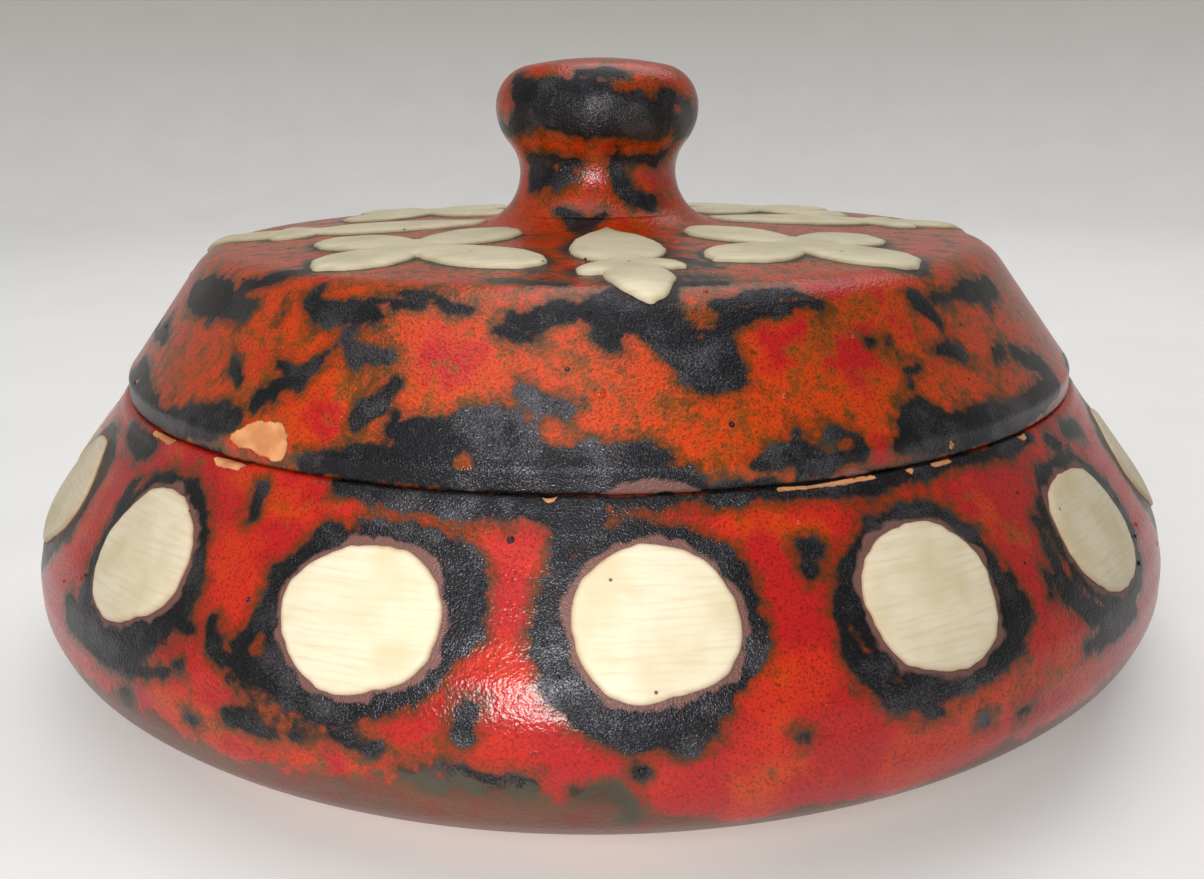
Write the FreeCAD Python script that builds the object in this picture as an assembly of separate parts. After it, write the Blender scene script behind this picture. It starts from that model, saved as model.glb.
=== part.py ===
import FreeCAD, Part
import math
import os

# Low, wide earthenware pot with a flat-topped lid and a mushroom knob, decorated in raised slip.
# Millimetres, +Z up, origin on the table under the middle of the foot. The front faces -Y, and
# an azimuth is counted from the front towards +X.

# Bowl: a straight shoulder, a tight round belly and a long round that runs in to the foot
widest_radius = 125.0
widest_height = 25.0
rim_height = 61.0
shoulder_slope = 37.5         # degrees that the upper wall leans in from upright
shoulder_round = 27.4         # just over the widest line
belly_round = 14.0            # just under it
underside_round = 61.0        # from the belly to the foot
bowl_wall = 7.0
rim_round = 1.2
foot_ring_width = 10.8        # flat ring that it stands on, round a shallow turned hollow
foot_hollow_depth = 1.5

# Lid: an upright edge band, a sloping side, a rounded corner and a shallow dome with a boss
lid_setback = 0.7             # edge of the lid, in from the bowl's rim
lid_edge_band = 4.0
lid_edge_round = 0.8
lid_slope = 36.5              # degrees that the side leans in from upright
lid_height = 30.8             # from the rim to the crown of the dome
lid_corner_round = 10.0
lid_dome_radius = 1280.0
lid_wall = 7.0
boss_rise = 2.5               # knob's seat above the crown of the dome

# Flange: the ring under the lid that keeps it centred in the mouth
flange_clearance = 1.5
flange_thickness = 5.0
flange_depth = 9.0
flange_round = 1.5

# Knob: a flared foot, a neck and a rounded head
neck_radius = 17.7
flare_round = 11.7            # hollow round from the dome up to the neck, shared by boss and knob
under_head_round = 9.4        # hollow round from the neck out to the head
head_radius = 22.7
head_low_round = 12.0         # below the head's widest line
head_top_round = 9.0          # above it
crown_rise = 1.4              # top of the head above that round

# Slip: cream clay laid on thickly, so that each spot and petal stands proud
slip_height = 0.9
slip_bond = 0.05              # skin left between the slip and the wall

# Spots round the shoulder
dot_count = 16
dot_width = 26.0
dot_height = 23.0
dot_drop = 19.8               # middle of a spot, down the wall from the rim
dot_azimuth = 3.8             # spot nearest the front
dot_drift = {2: -0.8, 3: -0.7, 16: 1.0}   # degrees that a hand-placed spot strays, by its number

# Flowers on the lid: four petals round a heart, one petal pointing outwards
flower_radius = 57.0          # middle of a flower, out from the middle of the lid
flower_azimuth = 45.0         # flower to the right of the front, the others each a quarter turn on
flower_places = ("front_right", "back_right", "back_left", "front_left")
flower_drift = {"front_right": -3.0, "back_right": -3.0, "back_left": 5.0, "front_left": 5.5}
petal_out_length = 26.0
petal_side_length = 28.0
petal_in_length = 27.0
petal_width = 17.5
petal_fullest = 0.6           # share of a petal's length where it is widest
heart_radius = 5.0

# Buds between the flowers: a hood towards the knob, two side leaves and a long leaf outwards
bud_azimuth = 4.0             # bud at the front, the others each a quarter turn on
bud_places = ("front", "right", "back", "left")
bud_drift = {"back": -1.0, "left": 4.0}
hood_base_radius = 66.0       # base of the hood, out from the middle of the lid
hood_tip_gap = 7.3            # tip of the hood, out from the knob's neck
hood_width = 18.0
hood_fullest = 0.35           # share of the hood's length where it is widest
side_leaf_lap = 6.0           # how far the side leaves start inside the hood's base
side_leaf_length = 14.0
side_leaf_width = 7.0
side_leaf_spread = 44.0       # degrees either side of straight out
side_leaf_fullest = 0.6       # share of the leaf's length where it is widest
long_leaf_lap = 4.0           # how far the long leaf starts inside the hood's base
long_leaf_length = 25.5
long_leaf_width = 11.5
long_leaf_fullest = 0.5       # share of the leaf's length where it is widest

AXIS = FreeCAD.Vector(0, 0, 1)
ORIGIN = FreeCAD.Vector(0, 0, 0)


# Outline helpers. A turned outline is drawn in the XZ plane, x being the distance from the axis.

def at(radius, height):
    return FreeCAD.Vector(radius, 0, height)


def direction(degrees):
    """Unit vector in the XZ plane, 0 pointing outwards and 90 up."""
    angle = math.radians(degrees)
    return at(math.cos(angle), math.sin(angle))


def heading(vector):
    return math.degrees(math.atan2(vector.z, vector.x))


def line(start, end):
    return Part.LineSegment(start, end).toShape()


def arc(centre, radius, start_degrees, end_degrees):
    stops = (start_degrees, (start_degrees + end_degrees) / 2, end_degrees)
    points = [centre + direction(stop) * radius for stop in stops]
    return Part.Arc(*points).toShape()


def chain(edges):
    """Add the straight line that closes an open run of edges."""
    start = edges[0].firstVertex(True).Point
    end = edges[-1].lastVertex(True).Point
    return edges + [line(end, start)]


def turned(edges):
    """Solid of revolution from a closed outline."""
    solid = Part.Face(Part.Wire(edges)).revolve(ORIGIN, AXIS, 360)
    if solid.Volume < 0:
        solid.reverse()
    return solid


def soften(solid, rings, radius):
    """Round the circular edges named by their (radius, height)."""
    picked = []
    for edge in solid.Edges:
        if edge.Degenerated or not isinstance(edge.Curve, Part.Circle):
            continue
        for ring_radius, ring_height in rings:
            same_radius = abs(edge.Curve.Radius - ring_radius) < 1e-6
            if same_radius and abs(edge.Curve.Center.z - ring_height) < 1e-6:
                picked.append(edge)
    return solid.makeFillet(radius, picked)


def plan(radius, azimuth):
    """Point on the table plane at a distance from the axis and an azimuth from the front."""
    angle = math.radians(azimuth)
    return FreeCAD.Vector(radius * math.sin(angle), -radius * math.cos(angle), 0)


# Bowl outline: each skin of the wall is the same chain of line and arcs, offset from the outside.

shoulder_lean = math.radians(shoulder_slope)
shoulder_centre = at(widest_radius - shoulder_round, widest_height)
shoulder_top = shoulder_centre + direction(shoulder_slope) * shoulder_round
rim_radius = shoulder_top.x - (rim_height - shoulder_top.z) * math.tan(shoulder_lean)
belly_centre = at(widest_radius - belly_round, widest_height)
foot_reach = math.sqrt((underside_round - belly_round) ** 2 - (underside_round - widest_height) ** 2)
underside_centre = at(belly_centre.x - foot_reach, underside_round)
foot_hollow_radius = underside_centre.x - foot_ring_width
belly_end = heading(belly_centre - underside_centre)


def on_shoulder(drop, offset):
    """Point on the straight upper wall, a distance down it from the rim and out from its face."""
    down = direction(shoulder_slope - 90)
    return at(rim_radius, rim_height) + down * drop + direction(shoulder_slope) * offset


def rim_edge(offset):
    return at(rim_radius + offset / math.cos(shoulder_lean), rim_height)


def shoulder_arc(offset):
    return arc(shoulder_centre, shoulder_round + offset, shoulder_slope, 0)


def bowl_skin(offset):
    """Edges of the wall's section from the rim down to the foot."""
    bend = shoulder_arc(offset)
    return [
        line(rim_edge(offset), bend.firstVertex(True).Point),
        bend,
        arc(belly_centre, belly_round + offset, 0, belly_end),
        arc(underside_centre, underside_round + offset, belly_end, -90),
    ]


def reversed_run(edges):
    """The same run of edges, walked from its end to its start."""
    flipped = []
    for edge in reversed(edges):
        first, last = edge.ParameterRange
        points = [edge.valueAt(last), edge.valueAt((first + last) / 2), edge.valueAt(first)]
        if isinstance(edge.Curve, Part.Line):
            flipped.append(line(points[0], points[2]))
        else:
            flipped.append(Part.Arc(*points).toShape())
    return flipped


def make_bowl():
    hollow_lip = foot_hollow_radius - foot_hollow_depth
    section = bowl_skin(0)
    section += [
        line(at(underside_centre.x, 0), at(foot_hollow_radius, 0)),
        line(at(foot_hollow_radius, 0), at(hollow_lip, foot_hollow_depth)),
        line(at(hollow_lip, foot_hollow_depth), at(0, foot_hollow_depth)),
        line(at(0, foot_hollow_depth), at(0, bowl_wall)),
        line(at(0, bowl_wall), at(underside_centre.x, bowl_wall)),
    ]
    section += reversed_run(bowl_skin(-bowl_wall))
    bowl = turned(chain(section))
    rims = [(rim_radius, rim_height), (rim_edge(-bowl_wall).x, rim_height)]
    return soften(bowl, rims, rim_round)


# Lid outline: the corner round touches the side and the dome, and the flare touches dome and neck.

mouth_radius = rim_edge(-bowl_wall).x
flange_radius = mouth_radius - flange_clearance
flange_bore = flange_radius - flange_thickness

lid_edge_radius = rim_radius - lid_setback
dome_top = rim_height + lid_height
dome_centre = at(0, dome_top - lid_dome_radius)
side_normal = direction(lid_slope)
side_up = direction(lid_slope + 90)
side_foot = at(lid_edge_radius, rim_height + lid_edge_band)


def corner_centre():
    """Centre of the round that touches the straight side and the dome from inside."""
    start = side_foot - side_normal * lid_corner_round - dome_centre
    half = start.dot(side_up)
    spare = start.dot(start) - (lid_dome_radius - lid_corner_round) ** 2
    climb = -half + math.sqrt(half ** 2 - spare)
    return dome_centre + start + side_up * climb


corner = corner_centre()
corner_end = heading(corner - dome_centre)
flare_x = neck_radius + flare_round
flare_centre = dome_centre + at(flare_x, math.sqrt((lid_dome_radius + flare_round) ** 2 - flare_x ** 2))
flare_start = heading(flare_centre - dome_centre)
boss_height = dome_top + boss_rise
boss_drop = flare_centre.z - boss_height
boss_heading = -180 + math.degrees(math.asin(boss_drop / flare_round))


def lid_top(offset):
    """Edges from the corner round over the dome to the foot of the flare."""
    return [
        arc(corner, lid_corner_round + offset, lid_slope, corner_end),
        arc(dome_centre, lid_dome_radius + offset, corner_end, flare_start),
    ]


def flare(offset, end_degrees):
    return arc(flare_centre, flare_round - offset, flare_start - 180, end_degrees)


def make_lid():
    outside = lid_top(0)
    inside = [
        arc(dome_centre, lid_dome_radius - lid_wall, 90, corner_end),
        arc(corner, lid_corner_round - lid_wall, corner_end, lid_slope),
    ]
    side_end = outside[0].firstVertex(True).Point
    inner_end = inside[1].lastVertex(True).Point
    lip_top = inner_end - side_up * ((flange_bore - inner_end.x) / -side_up.x)
    boss_edge = flare_centre + direction(boss_heading) * flare_round
    section = [
        line(at(flange_bore, rim_height), at(lid_edge_radius, rim_height)),
        line(at(lid_edge_radius, rim_height), side_foot),
        line(side_foot, side_end),
        *outside,
        flare(0, boss_heading),
        line(boss_edge, at(0, boss_height)),
        line(at(0, boss_height), at(0, dome_top - lid_wall)),
        *inside,
        line(inner_end, lip_top),
    ]
    lid = turned(chain(section))
    return soften(lid, [(lid_edge_radius, rim_height)], lid_edge_round)


def make_flange():
    foot = rim_height - flange_depth
    section = [
        line(at(flange_bore, rim_height), at(flange_bore, foot)),
        line(at(flange_bore, foot), at(flange_radius, foot)),
        line(at(flange_radius, foot), at(flange_radius, rim_height)),
    ]
    flange = turned(chain(section))
    return soften(flange, [(flange_bore, foot), (flange_radius, foot)], flange_round)


def make_knob():
    bend = math.degrees(math.acos(1 - (head_radius - neck_radius) / (under_head_round + head_low_round)))
    neck_height = flare_centre.z
    widest = neck_height + (under_head_round + head_low_round) * math.sin(math.radians(bend))
    under_centre = at(neck_radius + under_head_round, neck_height)
    low_centre = at(head_radius - head_low_round, widest)
    top_centre = at(head_radius - head_top_round, widest)
    head_crown = head_top_round + crown_rise
    crown_radius = (top_centre.x ** 2 + head_crown ** 2 - head_top_round ** 2) / (2 * crown_rise)
    crown_centre = at(0, widest + head_crown - crown_radius)
    crown_end = heading(top_centre - crown_centre)
    section = [
        arc(flare_centre, flare_round, boss_heading, -180),
        arc(under_centre, under_head_round, 180, 180 - bend),
        arc(low_centre, head_low_round, -bend, 0),
        arc(top_centre, head_top_round, 0, crown_end),
        arc(crown_centre, crown_radius, crown_end, 90),
        line(at(0, widest + head_crown), at(0, boss_height)),
    ]
    return turned(chain(section))


# Slip work: each pad is cut from a thin turned skin that follows the wall it lies on.

def bowl_slip():
    """Skin of slip over the shoulder, from just under the rim to the widest line."""
    start = dot_drop - dot_height
    low = slip_bond
    high = slip_bond + slip_height
    inner = shoulder_arc(low)
    outer = shoulder_arc(high)
    section = [
        line(on_shoulder(start, low), inner.firstVertex(True).Point),
        inner,
        line(inner.lastVertex(True).Point, outer.lastVertex(True).Point),
        *reversed_run([outer]),
        line(outer.firstVertex(True).Point, on_shoulder(start, high)),
    ]
    return turned(chain(section))


def oval(centre, across, along):
    """Closed smooth outline through eight points of an oval."""
    points = []
    for step in range(8):
        angle = step * math.pi / 4
        points.append(centre + across * math.cos(angle) + along * math.sin(angle))
    curve = Part.BSplineCurve()
    curve.interpolate(points, PeriodicFlag=True)
    return Part.Wire(curve.toShape())


def make_dots():
    skin = bowl_slip()
    normal = direction(shoulder_slope)
    across = FreeCAD.Vector(0, dot_width / 2, 0)
    along = direction(shoulder_slope - 90) * (dot_height / 2)
    sunk = on_shoulder(dot_drop, -bowl_wall)
    stamp = Part.Face(oval(sunk, across, along)).extrude(normal * (2 * bowl_wall))
    pad = skin.common(stamp).Solids[0]
    dots = {}
    for number in range(1, dot_count + 1):
        azimuth = dot_azimuth + (number - 1) * 360 / dot_count + dot_drift.get(number, 0)
        dot = pad.copy()
        # the pad was cut at +X, which is azimuth 90
        dot.rotate(ORIGIN, AXIS, azimuth - 90)
        dots[f"dot_{number:02d}"] = dot
    return dots


def lid_slip():
    """Skin of slip over the lid, from the flare over the corner and down the side."""
    low = slip_bond
    high = slip_bond + slip_height
    flare_end = (boss_heading + flare_start - 180) / 2
    inner = lid_top(low) + [flare(low, flare_end)]
    outer = lid_top(high) + [flare(high, flare_end)]
    section = [
        line(side_foot + side_normal * low, inner[0].firstVertex(True).Point),
        *inner,
        line(inner[-1].lastVertex(True).Point, outer[-1].lastVertex(True).Point),
        *reversed_run(outer),
        line(outer[0].firstVertex(True).Point, side_foot + side_normal * high),
    ]
    return turned(chain(section))


def leaf(base, tip, width, fullest):
    """Prism over a pointed leaf drawn in plan, widest at a share of its length from the base."""
    ahead = (tip - base).normalize()
    aside = FreeCAD.Vector(-ahead.y, ahead.x, 0)
    length = base.distanceToPoint(tip)
    half = width / 2
    swell = fullest * length

    def edge(end, side, outward):
        """Arc between an end of the leaf and its widest point, level with the leaf there."""
        run = swell - end
        radius = (run ** 2 + half ** 2) / (2 * half)
        turn = math.atan2(run, radius - half)
        points = []
        for share in (1, 0.5, 0):
            forward = swell - radius * math.sin(turn * share)
            sideways = half - radius + radius * math.cos(turn * share)
            points.append(base + ahead * forward + aside * (side * sideways))
        if not outward:
            points.reverse()
        return Part.Arc(*points).toShape()

    outline = [edge(0, 1, True), edge(length, 1, False), edge(length, -1, True), edge(0, -1, False)]
    return Part.Face(Part.Wire(outline)).extrude(AXIS * (2 * boss_height))


def step_from(point, azimuth, length):
    return point + plan(length, azimuth)


def cut_motif(skin, prisms):
    return skin.common(prisms[0].multiFuse(prisms[1:])).removeSplitter()


def make_flower(skin, azimuth):
    centre = plan(flower_radius, azimuth)
    lengths = (petal_out_length, petal_side_length, petal_in_length, petal_side_length)
    prisms = [Part.makeCylinder(heart_radius, 2 * boss_height, centre)]
    for quarter, length in enumerate(lengths):
        tip = step_from(centre, azimuth + 90 * quarter, length)
        prisms.append(leaf(centre, tip, petal_width, petal_fullest))
    return cut_motif(skin, prisms)


def make_bud(skin, azimuth):
    hood_base = plan(hood_base_radius, azimuth)
    hood_tip = plan(neck_radius + hood_tip_gap, azimuth)
    side_base = step_from(hood_base, azimuth, -side_leaf_lap)
    long_base = step_from(hood_base, azimuth, -long_leaf_lap)
    long_tip = step_from(long_base, azimuth, long_leaf_length)
    prisms = [
        leaf(hood_base, hood_tip, hood_width, hood_fullest),
        leaf(long_base, long_tip, long_leaf_width, long_leaf_fullest),
    ]
    for spread in (-side_leaf_spread, side_leaf_spread):
        tip = step_from(side_base, azimuth + spread, side_leaf_length)
        prisms.append(leaf(side_base, tip, side_leaf_width, side_leaf_fullest))
    return cut_motif(skin, prisms)


def main():
    nodes = {
        "bowl": make_bowl(),
        "lid": make_lid(),
        "lid_flange": make_flange(),
        "knob": make_knob(),
    }
    nodes.update(make_dots())
    skin = lid_slip()
    for quarter, place in enumerate(flower_places):
        azimuth = flower_azimuth + 90 * quarter + flower_drift.get(place, 0)
        nodes[f"flower_{place}"] = make_flower(skin, azimuth)
    for quarter, place in enumerate(bud_places):
        azimuth = bud_azimuth + 90 * quarter + bud_drift.get(place, 0)
        nodes[f"bud_{place}"] = make_bud(skin, azimuth)
    os.makedirs("parts", exist_ok=True)
    for name, shape in nodes.items():
        shape.exportStep(f"parts/{name}.step")
        print(name, "solids", len(shape.Solids), "volume", round(shape.Volume / 1000, 2), "cm3")


main()
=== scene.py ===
# %% [markdown]
# # A lidded pot with cream spots
# The pot is thrown earthenware: a low wide bowl, a lid that lifts off, a mushroom knob, and spots,
# flowers and buds of cream slip that stand a little proud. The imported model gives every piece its
# size and place. This lesson turns the same outlines again as fine skins, paints the mottled glaze
# on them with brush strokes that are kept as attributes, and lays the slip on top.

import math
import random

import bmesh
import bpy
import numpy as np
from mathutils import Matrix, Vector


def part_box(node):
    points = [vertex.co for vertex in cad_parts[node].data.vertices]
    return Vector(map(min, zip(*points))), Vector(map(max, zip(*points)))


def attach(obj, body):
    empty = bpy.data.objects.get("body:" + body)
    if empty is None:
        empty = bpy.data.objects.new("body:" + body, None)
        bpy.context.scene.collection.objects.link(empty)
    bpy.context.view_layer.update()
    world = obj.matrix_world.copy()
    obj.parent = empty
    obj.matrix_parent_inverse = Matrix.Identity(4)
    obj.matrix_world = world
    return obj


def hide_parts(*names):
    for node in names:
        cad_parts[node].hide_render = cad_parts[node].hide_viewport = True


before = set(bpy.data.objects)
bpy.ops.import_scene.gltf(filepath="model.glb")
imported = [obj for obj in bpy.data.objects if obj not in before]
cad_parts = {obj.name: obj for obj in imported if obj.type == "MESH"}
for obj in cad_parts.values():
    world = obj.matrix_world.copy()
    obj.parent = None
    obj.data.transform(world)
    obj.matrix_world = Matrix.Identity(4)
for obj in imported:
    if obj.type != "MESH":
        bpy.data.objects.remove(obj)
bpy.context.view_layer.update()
MM = 0.001

# %% [markdown]
# ## Sizes
# Outlines are drawn in millimetres, x being the distance from the axis and y the height. What the
# frame can tell is read from it. The rounds and slopes are the potter's, so they are named here.

# %% Sizes of the bowl, the lid and the knob
def top_of(node):
    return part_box(node)[1].z / MM


def reach_of(node):
    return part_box(node)[1].x / MM


rim_height = top_of("bowl")
widest_radius = reach_of("bowl")
widest_height = 25.0
shoulder_slope = 37.5
shoulder_round = 27.4
belly_round = 14.0
underside_round = 61.0
bowl_thickness = 7.0
rim_round = 1.2
foot_ring = 10.8
foot_hollow = 1.5

lid_setback = 0.7
lid_edge_band = 4.0
lid_edge_round = 0.8
lid_slope = 36.5
lid_height = 30.8
lid_corner_round = 10.0
lid_dome_radius = 1280.0
lid_thickness = 7.0
boss_height = top_of("lid")

flange_radius = reach_of("lid_flange")
flange_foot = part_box("lid_flange")[0].z / MM
flange_thickness = 5.0
flange_round = 1.5

knob_top = top_of("knob")
neck_radius = 17.7
flare_round = 11.7
under_head_round = 9.4
head_radius = 22.7
head_low_round = 12.0
head_top_round = 9.0
crown_rise = 1.4
print("bowl:", round(2 * widest_radius), "mm wide, rim at", round(rim_height, 1), "mm")
print("knob: up to", round(knob_top, 1), "mm")

# %% [markdown]
# ## Outlines
# A turned piece is one outline spun round the axis, as on a potter's wheel. Each outline is a chain
# of lines and arcs. The last number of each run is the spacing of its points in millimetres: close
# together where paint and chips need it, far apart on the inside, where only plain glaze shows.

# %% Draw lines and arcs as points
def line(start, end, step):
    count = max(1, math.ceil(math.dist(start, end) / step))
    return np.linspace(start, end, count + 1)


def arc(centre, radius, start, end, step):
    count = max(2, math.ceil(abs(math.radians(end - start)) * radius / step))
    angles = np.radians(np.linspace(start, end, count + 1))
    return np.stack([centre[0] + radius * np.cos(angles), centre[1] + radius * np.sin(angles)], 1)


def join(*runs):
    """One outline from runs that meet end to start."""
    points = [runs[0][0]]
    for run in runs:
        points += [p for p in run if math.dist(p, points[-1]) > 1e-4]
        points[-1] = run[-1]
    return np.array(points)


def heading(start, end):
    return math.degrees(math.atan2(end[1] - start[1], end[0] - start[0]))


def step_to(start, degrees, length):
    angle = math.radians(degrees)
    return start[0] + length * math.cos(angle), start[1] + length * math.sin(angle)


def travel(points):
    """Distance walked along the outline at each of its points."""
    return np.concatenate([[0], np.cumsum(np.hypot(*np.diff(points, axis=0).T))])


print("a quarter of a 10 mm round measures", round(travel(arc((0, 0), 10, 0, 90, 1))[-1], 2), "mm")

# %% The bowl's outline, from the middle of its floor over the rim to the foot
FINE = 1.0
MIDDLE = 2.5
COARSE = 7.0
lean = math.radians(shoulder_slope)
shoulder_centre = (widest_radius - shoulder_round, widest_height)
shoulder_top = step_to(shoulder_centre, shoulder_slope, shoulder_round)
rim_radius = shoulder_top[0] - (rim_height - shoulder_top[1]) * math.tan(lean)
belly_centre = (widest_radius - belly_round, widest_height)
foot_run = math.sqrt((underside_round - belly_round) ** 2 - (underside_round - widest_height) ** 2)
underside_centre = (belly_centre[0] - foot_run, underside_round)
belly_end = heading(underside_centre, belly_centre)
foot_radius = underside_centre[0]
hollow_radius = foot_radius - foot_ring


def rim_centre(offset):
    """Centre of a rim round whose arc touches the wall at this distance from its outer face."""
    sideways = rim_radius + offset / math.cos(lean) + rim_round * math.tan(lean)
    return sideways, rim_height - rim_round


inner_rim = rim_centre(rim_round - bowl_thickness)
outer_rim = rim_centre(-rim_round)
rim_touch = rim_round * math.tan(math.radians(90 - shoulder_slope) / 2)
inner_wall_top = step_to(inner_rim, shoulder_slope + 180, rim_round)
inner_shoulder = arc(shoulder_centre, shoulder_round - bowl_thickness, 0, shoulder_slope, COARSE)
outside_start = step_to(outer_rim, shoulder_slope, rim_round)
bowl_inside = join(
    line((0, bowl_thickness), (foot_radius, bowl_thickness), 10.0),
    arc(underside_centre, underside_round - bowl_thickness, -90, belly_end, COARSE),
    arc(belly_centre, belly_round - bowl_thickness, belly_end, 0, COARSE),
    inner_shoulder,
    line(inner_shoulder[-1], inner_wall_top, COARSE),
)
bowl_rim = join(
    arc(inner_rim, rim_round, shoulder_slope + 180, 90, 0.7),
    arc(outer_rim, rim_round, 90, shoulder_slope, 0.4),
)


def bowl_wall(step):
    """The bowl's outside, from under the rim's round to the end of the belly."""
    return join(
        line(outside_start, shoulder_top, step),
        arc(shoulder_centre, shoulder_round, shoulder_slope, 0, step),
        arc(belly_centre, belly_round, 0, belly_end, step),
    )


bowl_outside = join(
    bowl_wall(FINE),
    arc(underside_centre, underside_round, belly_end, -90, MIDDLE),
    line((foot_radius, 0), (hollow_radius, 0), 3.0),
    line((hollow_radius, 0), (hollow_radius - foot_hollow, foot_hollow), 1.0),
    line((hollow_radius - foot_hollow, foot_hollow), (0, foot_hollow), 14.0),
)
bowl_outline = join(bowl_inside, bowl_rim, bowl_outside)
bowl_run = travel(bowl_outline) - travel(join(bowl_inside, bowl_rim))[-1] + rim_touch
print("bowl outline:", len(bowl_outline), "points, mouth radius", round(inner_wall_top[0], 1), "mm")

# %% The lid's outline, from under its dome over the edge to the boss
lid_edge_radius = rim_radius - lid_setback
dome_top = rim_height + lid_height
dome_centre = (0.0, dome_top - lid_dome_radius)
side_foot = (lid_edge_radius, rim_height + lid_edge_band)


def corner_of_lid():
    """Centre of the round that touches the sloping side and the dome from inside."""
    start = np.subtract(step_to(side_foot, lid_slope, -lid_corner_round), dome_centre)
    climb = np.array(step_to((0, 0), lid_slope + 90, 1))
    half = start @ climb
    spare = start @ start - (lid_dome_radius - lid_corner_round) ** 2
    return tuple(dome_centre + start + climb * (math.sqrt(half ** 2 - spare) - half))


corner = corner_of_lid()
corner_end = heading(dome_centre, corner)
flare_x = neck_radius + flare_round
flare_rise = math.sqrt((lid_dome_radius + flare_round) ** 2 - flare_x ** 2)
flare_centre = (flare_x, dome_centre[1] + flare_rise)
flare_start = heading(dome_centre, flare_centre)
boss_heading = -180 + math.degrees(math.asin((flare_centre[1] - boss_height) / flare_round))
boss_edge = step_to(flare_centre, boss_heading, flare_round)
flange_bore = flange_radius - flange_thickness
inner_corner = arc(corner, lid_corner_round - lid_thickness, corner_end, lid_slope, 1.5)
lip_drop = (flange_bore - inner_corner[-1][0]) / math.tan(math.radians(lid_slope))
lip_top = (flange_bore, inner_corner[-1][1] - lip_drop)
edge_centre = (lid_edge_radius - lid_edge_round, rim_height + lid_edge_round)
break_round = 2.0
break_touch = break_round * math.tan(math.radians(lid_slope) / 2)
break_centre = (lid_edge_radius - break_round, side_foot[1] - break_touch)
side_top = step_to(corner, lid_slope, lid_corner_round)
lid_under = join(
    arc(dome_centre, lid_dome_radius - lid_thickness, 90, corner_end, COARSE),
    inner_corner,
    line(inner_corner[-1], lip_top, COARSE),
    line(lip_top, (flange_bore, rim_height), COARSE),
    line((flange_bore, rim_height), (edge_centre[0], rim_height), 4.0),
)


def lid_cover(step):
    """The lid's outside, from its lower edge over the corner to the boss."""
    return join(
        arc(edge_centre, lid_edge_round, -90, 0, 0.4 * step),
        line((lid_edge_radius, edge_centre[1]), (lid_edge_radius, break_centre[1]), 0.8 * step),
        arc(break_centre, break_round, 0, lid_slope, 0.4 * step),
        line(step_to(break_centre, lid_slope, break_round), side_top, step),
        arc(corner, lid_corner_round, lid_slope, corner_end, step),
        arc(dome_centre, lid_dome_radius, corner_end, flare_start, 1.3 * step),
        arc(flare_centre, flare_round, flare_start - 180, boss_heading, step),
    )


lid_outline = join(lid_under, lid_cover(FINE), line(boss_edge, (0, boss_height), 11.0))
lid_run = travel(lid_outline) - travel(lid_under)[-1]
flare_length = math.radians(flare_start - 180 - boss_heading) * flare_round
flare_run = travel(lid_cover(FINE))[-1] - flare_length
print("lid outline:", len(lid_outline), "points, dome top at", round(dome_top, 1), "mm")

# %% The knob's and the flange's outlines
bend = math.degrees(math.acos(1 - (head_radius - neck_radius) / (under_head_round + head_low_round)))
widest_head = flare_centre[1] + (under_head_round + head_low_round) * math.sin(math.radians(bend))
top_centre = (head_radius - head_top_round, widest_head)
crown = head_top_round + crown_rise
crown_radius = (top_centre[0] ** 2 + crown ** 2 - head_top_round ** 2) / (2 * crown_rise)
crown_centre = (0, widest_head + crown - crown_radius)
crown_end = heading(crown_centre, top_centre)
knob_skin = join(
    arc(flare_centre, flare_round, boss_heading, -180, 0.8),
    arc((neck_radius + under_head_round, flare_centre[1]), under_head_round, 180, 180 - bend, 0.8),
    arc((head_radius - head_low_round, widest_head), head_low_round, -bend, 0, 0.8),
    arc(top_centre, head_top_round, 0, crown_end, 0.8),
    arc(crown_centre, crown_radius, crown_end, 90, 1.2),
)
knob_outline = join(line((0, boss_height), boss_edge, 11.0), knob_skin)
knob_run = travel(knob_outline) - boss_edge[0] + flare_length
flange_outline = join(
    line((flange_bore, rim_height), (flange_bore, flange_foot + flange_round), 2.0),
    arc((flange_bore + flange_round, flange_foot + flange_round), flange_round, 180, 270, 0.6),
    arc((flange_radius - flange_round, flange_foot + flange_round), flange_round, -90, 0, 0.6),
    line((flange_radius, flange_foot + flange_round), (flange_radius, rim_height), 2.0),
    line((flange_radius, rim_height), (flange_bore, rim_height), 3.0),
)
drawn_height = knob_outline[-1][1] - boss_height
print("knob is", round(drawn_height, 1), "mm tall, the frame says", round(knob_top - boss_height, 1))

# %% [markdown]
# ## Small helpers
# Every node tree below is written with one function: it adds a node, sets its properties, and then
# fills each input with a value or joins it to another node's output. The others put an object in
# the scene, turn what a modifier made into a plain mesh, and keep numbers on a mesh's points.

# %% Add a node with its settings and links
def add(tree, kind, inputs=None, **settings):
    node = tree.nodes.new(kind)
    for name, value in settings.items():
        setattr(node, name, value)
    for socket, value in (inputs or {}).items():
        if isinstance(value, bpy.types.NodeSocket):
            tree.links.new(value, node.inputs[socket])
        else:
            node.inputs[socket].default_value = value
    return node


def new_object(name, data):
    obj = bpy.data.objects.new(name, data)
    bpy.context.scene.collection.objects.link(obj)
    return obj


def plain_mesh(obj, name):
    """The object's evaluated geometry as a mesh of its own, with its modifiers gone."""
    evaluated = obj.evaluated_get(bpy.context.evaluated_depsgraph_get())
    mesh = bpy.data.meshes.new_from_object(evaluated)
    obj.modifiers.clear()
    mesh.name = name
    return mesh


def keep_on_points(mesh, name, values):
    """Store one number, or one vector, for each point of a mesh."""
    values = np.ascontiguousarray(values, np.float32)
    kind, field = ("FLOAT", "value") if values.ndim == 1 else ("FLOAT_VECTOR", "vector")
    mesh.attributes.new(name, kind, "POINT").data.foreach_set(field, values.ravel())


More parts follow.
